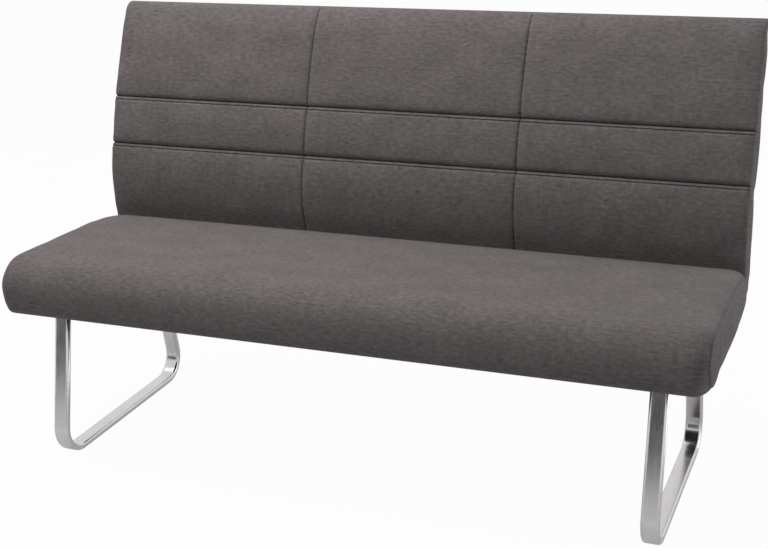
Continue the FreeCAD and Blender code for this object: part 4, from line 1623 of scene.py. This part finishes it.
@dataclass
class Underside:
    """What closes the bench below: lining, staples, the back's foot strip and the bracket bolts."""

    lining: Material
    cloth: Material
    zinc: Material
    inset: float = 0.012
    sag: float = 0.005
    sag_power: float = 0.5
    fold: float = 0.5
    fold_waves: tuple[float, float] = (14.0, 20.0)
    fold_seed: float = 0.4
    lining_thickness: float = 0.0006
    lining_cells: tuple[int, int] = (120, 34)
    hem: float = 0.012
    staple_pitch: float = 0.045
    staple_width: float = 0.010
    staple_wire: float = 0.0009
    staple_rise: float = 0.0003
    staple_edge: float = 0.000225
    strip_edge: float = 0.0006
    strip_edge_steps: int = 2
    head: float = 0.007
    head_flat: float = 0.00546
    head_edge: float = 0.0016
    shank: float = 0.004
    shank_chamfer: float = 0.001
    socket: float = 0.0055
    socket_depth: float = 0.0026
    bolt_sides: int = 24

    def build(self) -> list[Piece]:
        """Build all the pieces below."""
        return [self.dust_cover(), self.staples(), self.foot_strip(), self.bolts()]

    def dust_cover(self) -> Piece:
        """Staple the lining under the frame, where it sags a little between the brackets.

        Returns:
            The lining.
        """
        low, high = (corner.copy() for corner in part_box("dust_cover"))
        low.x += self.inset
        high.x -= self.inset
        size = high - low
        long_cells, deep_cells = self.lining_cells
        bm = bmesh.new()
        bmesh.ops.create_grid(bm, x_segments=long_cells, y_segments=deep_cells, size=0.5)
        bmesh.ops.scale(bm, vec=(size.x, size.y, 1.0), verts=bm.verts)
        bmesh.ops.translate(bm, vec=(low + high) / 2, verts=bm.verts)
        front_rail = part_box("seat_front_rail")[1].y
        rear_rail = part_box("seat_rear_rail")[0].y
        bracket_low, bracket_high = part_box("back_bracket_right")
        first = (bracket_high.x - bracket_low.x) / 2
        last = bracket_low.x
        waves_along, waves_across = self.fold_waves
        for vert in bm.verts:
            across = (vert.co.y - front_rail) / (rear_rail - front_rail)
            along = (abs(vert.co.x) - first) / (last - first)
            if 0 < across < 1 and 0 < along < 1:
                spot = Vector((vert.co.x * waves_along, vert.co.y * waves_across, self.fold_seed))
                sag = self.sag * (1 + self.fold * noise.noise(spot))
                vert.co.z -= sag * math.sin(math.pi * across) * math.sin(math.pi * along) ** self.sag_power
        bmesh.ops.solidify(bm, geom=bm.faces[:], thickness=self.lining_thickness)
        map_plan(bm)
        bmesh.ops.recalc_face_normals(bm, faces=bm.faces)
        piece = add_piece("lining_sheet", bm, self.lining)
        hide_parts("dust_cover")
        return piece

    def staples(self) -> Piece:
        """Drive wire staples along the hem of the lining.

        Returns:
            The staples.
        """
        low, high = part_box("dust_cover")
        edge_x = high.x - self.inset - self.hem
        front = low.y + self.hem
        rear = high.y - self.hem
        spots = []
        for x in spread(-edge_x, edge_x, int(2 * edge_x / self.staple_pitch)):
            spots += [(x, front, 0.0), (x, rear, 0.0)]
        for y in spread(front, rear, int((rear - front) / self.staple_pitch))[:-1]:
            spots += [(-edge_x, y, math.pi / 2), (edge_x, y, math.pi / 2)]
        bm = bmesh.new()
        shape = Matrix.Diagonal((self.staple_width, self.staple_wire, self.staple_wire, 1.0))
        for x, y, turn in spots:
            spot = Matrix.Translation((x, y, low.z - self.staple_rise))
            rounded_box(bm, spot @ Matrix.Rotation(turn, 4, "Z") @ shape, self.staple_edge, 1)
        return add_piece("lining_staples", bm, self.zinc)

    def foot_strip(self) -> Piece:
        """Close the back below with a strip of cover cloth, which the brackets pass through.

        Returns:
            The strip.
        """
        low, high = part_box("back_base_strip")
        bm = bmesh.new()
        place = Matrix.Translation((low + high) / 2) @ Matrix.Diagonal((*(high - low), 1.0))
        rounded_box(bm, place, self.strip_edge, self.strip_edge_steps)
        map_plan(bm)
        piece = add_piece("back_foot_strip", bm, self.cloth)
        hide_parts("back_base_strip")
        return piece

    def bolts(self) -> Piece:
        """Hold the brackets to the frame with button-head bolts.

        Returns:
            The bolts.
        """
        low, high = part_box("bracket_bolts")
        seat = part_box("bracket_washers")[0].z
        bm = bmesh.new()
        for x in (low.x + self.head, 0.0, high.x - self.head):
            for y in (low.y + self.head, (low.y + high.y) / 2, high.y - self.head):
                self.bolt(bm, Vector((x, y, 0.0)), low.z, seat, high.z)
        bmesh.ops.recalc_face_normals(bm, faces=bm.faces)
        piece = add_piece("bracket_screws", bm, self.zinc)
        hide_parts("bracket_bolts")
        return piece

    def bolt(self, bm: BMesh, spot: Vector, low: float, seat: float, tip: float) -> None:
        """Turn one bolt with a hexagon socket.

        Args:
            bm: Mesh to add it to.
            spot: Its place, in plan.
            low: Height of the head's lower face.
            seat: Height of the face under the head.
            tip: Height of the shank's end.
        """
        head = self.head
        shank = self.shank
        socket = self.socket / 2
        profile = [(socket, low + self.socket_depth), (socket, low), (self.head_flat, low)]
        profile += [(head, low + self.head_edge), (head, seat), (shank, seat)]
        profile += [(shank, tip - self.shank_chamfer), (shank - self.shank_chamfer, tip)]
        chain = [bm.verts.new((radius, 0.0, z)) for radius, z in profile]
        edges = [bm.edges.new(pair) for pair in zip(chain, chain[1:])]
        round_trip = {"cent": (0, 0, 0), "axis": (0, 0, 1), "angle": 2 * math.pi, "steps": self.bolt_sides}
        bmesh.ops.spin(bm, geom=chain + edges, use_merge=True, **round_trip)
        turned = [vert for vert in bm.verts if vert.co.xy.length < 2 * head]
        rims = [edge for edge in bm.edges if edge.is_boundary]
        bmesh.ops.holes_fill(bm, edges=rims, sides=0)
        for vert in turned:
            if vert.co.xy.length < socket + LINE_REACH and vert.co.z < seat:
                corner = (math.atan2(vert.co.y, vert.co.x) % (math.pi / 3)) - math.pi / 6
                vert.co.xy = vert.co.xy / math.cos(corner)
        bmesh.ops.translate(bm, vec=spot, verts=turned)


@dataclass
class InnerFrame:
    """CAD pieces that keep their shape, and the finish of each."""

    finishes: dict[str, tuple[str, ...]]

    def dress(self, materials: dict[str, Material]) -> None:
        """Give every carried-over node its finish.

        Args:
            materials: The plain finishes, by name.
        """
        for name, starts in self.finishes.items():
            for node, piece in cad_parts.items():
                if node.startswith(starts) and not piece.hide_render:
                    piece.data.materials.clear()
                    piece.data.materials.append(materials[name])
                    LOG.info("%s: %s", node, name)


@dataclass(frozen=True)
class Softbox:
    """Square lamp that points at the bench."""

    name: str
    place: tuple[float, float, float]
    size: float
    power: float
    aim: tuple[float, float, float] = (0.0, 0.0, 0.5)

    def hang(self) -> None:
        """Hang the lamp."""
        data = bpy.data.lights.new(self.name, "AREA")
        data.size = self.size
        data.energy = self.power
        lamp = bpy.data.objects.new(self.name, data)
        lamp.location = self.place
        lamp.rotation_euler = (Vector(self.aim) - lamp.location).to_track_quat("-Z", "Y").to_euler()
        bpy.context.scene.collection.objects.link(lamp)


@dataclass
class Studio:
    """Pale floor, white surroundings, soft lamps and the camera."""

    azimuth: float = math.radians(22.026)
    elevation: float = math.radians(19.164)
    roll: float = math.radians(-1.793)
    distance: float = 3.042591
    target: tuple[float, float, float] = (0.022689, -0.023380, 0.429950)
    focal_pixels: float = 1384.369
    image_width: float = 768.0
    sensor: float = 36.0
    ambient: float = 0.26
    floor_size: float = 24.0
    floor_grey: float = 0.52
    floor_seen_grey: float = 0.90
    floor_glow: float = 0.97
    mirror_glow: float = 0.40
    shade_tint: Colour = (0.99, 0.985, 1.03, 1.0)
    card_width: float = 0.9
    card_top: float = 1.1
    card_distance: float = -2.6
    card_grey: Colour = (0.07, 0.07, 0.07, 1.0)
    cards: tuple[tuple[float, float], ...] = ((-2.23, 0.11), (0.30, 0.045))
    softboxes: tuple[Softbox, ...] = (
        Softbox("top_softbox", (-0.7, -0.40, 3.0), 2.4, 56.0),
        Softbox("right_fill", (2.3, 0.9, 0.5), 1.4, 11.0),
    )

    def build(self) -> None:
        """Set the view transform and build the surroundings."""
        bpy.context.scene.view_settings.view_transform = "Standard"
        self.camera()
        self.floor()
        self.world()
        for place, foot in self.cards:
            self.card(place, foot)
        for softbox in self.softboxes:
            softbox.hang()

    def camera(self) -> None:
        """Place the camera at the photograph's viewing angle."""
        level = math.cos(self.elevation)
        right = Vector((math.cos(self.azimuth), math.sin(self.azimuth), 0.0))
        back = Vector((level * right.y, -level * right.x, math.sin(self.elevation)))
        up = back.cross(right)
        across = math.cos(self.roll) * right + math.sin(self.roll) * up
        upward = math.cos(self.roll) * up - math.sin(self.roll) * right
        data = bpy.data.cameras.new("camera")
        data.sensor_width = self.sensor
        data.lens = self.focal_pixels * self.sensor / self.image_width
        camera = bpy.data.objects.new("camera", data)
        turned = Matrix((across, upward, back)).transposed().to_4x4()
        camera.matrix_world = Matrix.Translation(Vector(self.target) + back * self.distance) @ turned
        bpy.context.scene.collection.objects.link(camera)
        bpy.context.scene.camera = camera

    def floor(self) -> None:
        """Lay a wide pale floor that keeps the bench's shadow."""
        bm = bmesh.new()
        bmesh.ops.create_grid(bm, x_segments=1, y_segments=1, size=self.floor_size / 2)
        shader = Shader.named("pale_floor")
        seen = self.seen(shader)
        mirror = shader.node("ShaderNodeLightPath", None, None, "Is Glossy Ray")
        glow = seen * self.floor_glow - mirror * (self.floor_glow - self.mirror_glow)
        grey = seen * (self.floor_seen_grey - self.floor_grey) + self.floor_grey
        pale = shader.node("ShaderNodeBsdfDiffuse", None, {"Color": grey})
        white = shader.node("ShaderNodeEmission", None, {"Color": WHITE, "Strength": 1.0})
        mixed = shader.node("ShaderNodeMixShader", None, {0: glow, 1: pale, 2: white})
        shader.node_output("ShaderNodeOutputMaterial", mixed)
        add_stage("floor", bm, shader)

    def card(self, place: float, foot: float) -> None:
        """Hang a dark card in front, which only the polished legs mirror.

        Args:
            place: Its middle along the bench.
            foot: Height of its lower edge.
        """
        bm = bmesh.new()
        bmesh.ops.create_grid(bm, x_segments=1, y_segments=1, size=0.5)
        bmesh.ops.scale(bm, vec=(self.card_width, self.card_top - foot, 1.0), verts=bm.verts)
        middle = Vector((place, self.card_distance, (foot + self.card_top) / 2))
        upright = Matrix.Translation(middle) @ Matrix.Rotation(math.pi / 2, 4, "X")
        bmesh.ops.transform(bm, matrix=upright, verts=bm.verts)
        shader = Shader.named("black_felt")
        dark = shader.node("ShaderNodeEmission", None, {"Color": self.card_grey, "Strength": 1.0})
        shader.node_output("ShaderNodeOutputMaterial", dark)
        card = add_stage("dark_card", bm, shader)
        card.visible_camera = False
        card.visible_diffuse = False
        card.visible_shadow = False

    @staticmethod
    def seen(shader: Shader) -> Value:
        """Tell the rays that see the surroundings from those that light the bench.

        Args:
            shader: The tree to add to.

        Returns:
            1 for rays from the camera, mirrors and glass, 0 for the rest.
        """
        names = ("Is Camera Ray", "Is Glossy Ray", "Is Transmission Ray")
        camera, mirror, glass = (shader.node("ShaderNodeLightPath", None, None, name) for name in names)
        return camera.larger(mirror).larger(glass)

    def world(self) -> None:
        """Make the world white where it is seen, and a plain level of light elsewhere."""
        world = bpy.data.worlds.new("studio")
        bpy.context.scene.world = world
        shader = Shader(world)
        seen = self.seen(shader)
        colour = shader.ramp(seen, (0.0, self.shade_tint), (1.0, WHITE))
        strength = seen * (1.0 - self.ambient) + self.ambient
        light = shader.node("ShaderNodeBackground", None, {"Color": colour, "Strength": strength})
        shader.node_output("ShaderNodeOutputWorld", light)


PLAIN_FINISHES = (
    PlainFinish("powder_coat", (0.012, 0.012, 0.013, 1), (0.030, 0.030, 0.031, 1), 0.48, 0.0002),
    PlainFinish("zinc_plate", (0.46, 0.46, 0.45, 1), (0.68, 0.67, 0.64, 1), 0.34, 0.0001, metallic=1.0),
    PlainFinish("spring_steel", (0.16, 0.16, 0.17, 1), (0.30, 0.30, 0.31, 1), 0.42, 0.0001, metallic=1.0),
    PlainFinish("glide_plastic", (0.020, 0.020, 0.021, 1), (0.040, 0.040, 0.041, 1), 0.55, 0.0002),
    PlainFinish(
        "felt", (0.10, 0.10, 0.11, 1), (0.26, 0.25, 0.25, 1), 0.95, 0.0008,
        cell=(0.003, 0.003, 0.001), sheen=0.3,
    ),
    PlainFinish("lining_cloth", (0.012, 0.012, 0.013, 1), (0.040, 0.040, 0.042, 1), 0.9, 0.0004, sheen=0.1),
    PlainFinish("sewing_thread", (0.060, 0.054, 0.054, 1), (0.115, 0.104, 0.102, 1), 0.7, 0.0002, sheen=0.2),
    Timber(
        "beech", (0.62, 0.42, 0.26, 1), (0.48, 0.29, 0.16, 1),
        ring=(0.05, 0.012, 0.012), fibre=(0.02, 0.0012, 0.0012),
    ),
    Timber(
        "plywood", (0.66, 0.49, 0.31, 1), (0.47, 0.31, 0.18, 1),
        ring=(0.20, 0.0016, 0.05), fibre=(0.03, 0.001, 0.004),
    ),
)
FRAME_FINISHES = {
    "powder_coat": ("back_bracket",),
    "zinc_plate": ("bracket_washers", "seat_tee_nuts", "back_bolts", "back_tee_nuts"),
    "spring_steel": ("seat_springs", "spring_clips"),
    "glide_plastic": ("floor_glide",),
    "felt": ("spring_pad",),
    "beech": ("seat_front_rail", "seat_rear_rail", "seat_end_rail", "seat_cross_rail", "frame_dowels"),
    "plywood": ("back_panel",),
}


def main() -> None:
    """Build and dress the bench, piece by piece."""
    logging.basicConfig(level=logging.INFO, format="%(name)s: %(message)s")
    materials = {finish.name: finish.material() for finish in PLAIN_FINISHES}
    cloth = MelangeCloth().material()
    steel = BrushedSteel().material()
    SeatCushion(cloth).build()
    BackCushion(cloth, materials["sewing_thread"]).build()
    for side in Side:
        SledLeg(side, steel).build()
    Underside(materials["lining_cloth"], cloth, materials["zinc_plate"]).build()
    InnerFrame(FRAME_FINISHES).dress(materials)
    Studio().build()


if __name__ == "__main__":
    main()
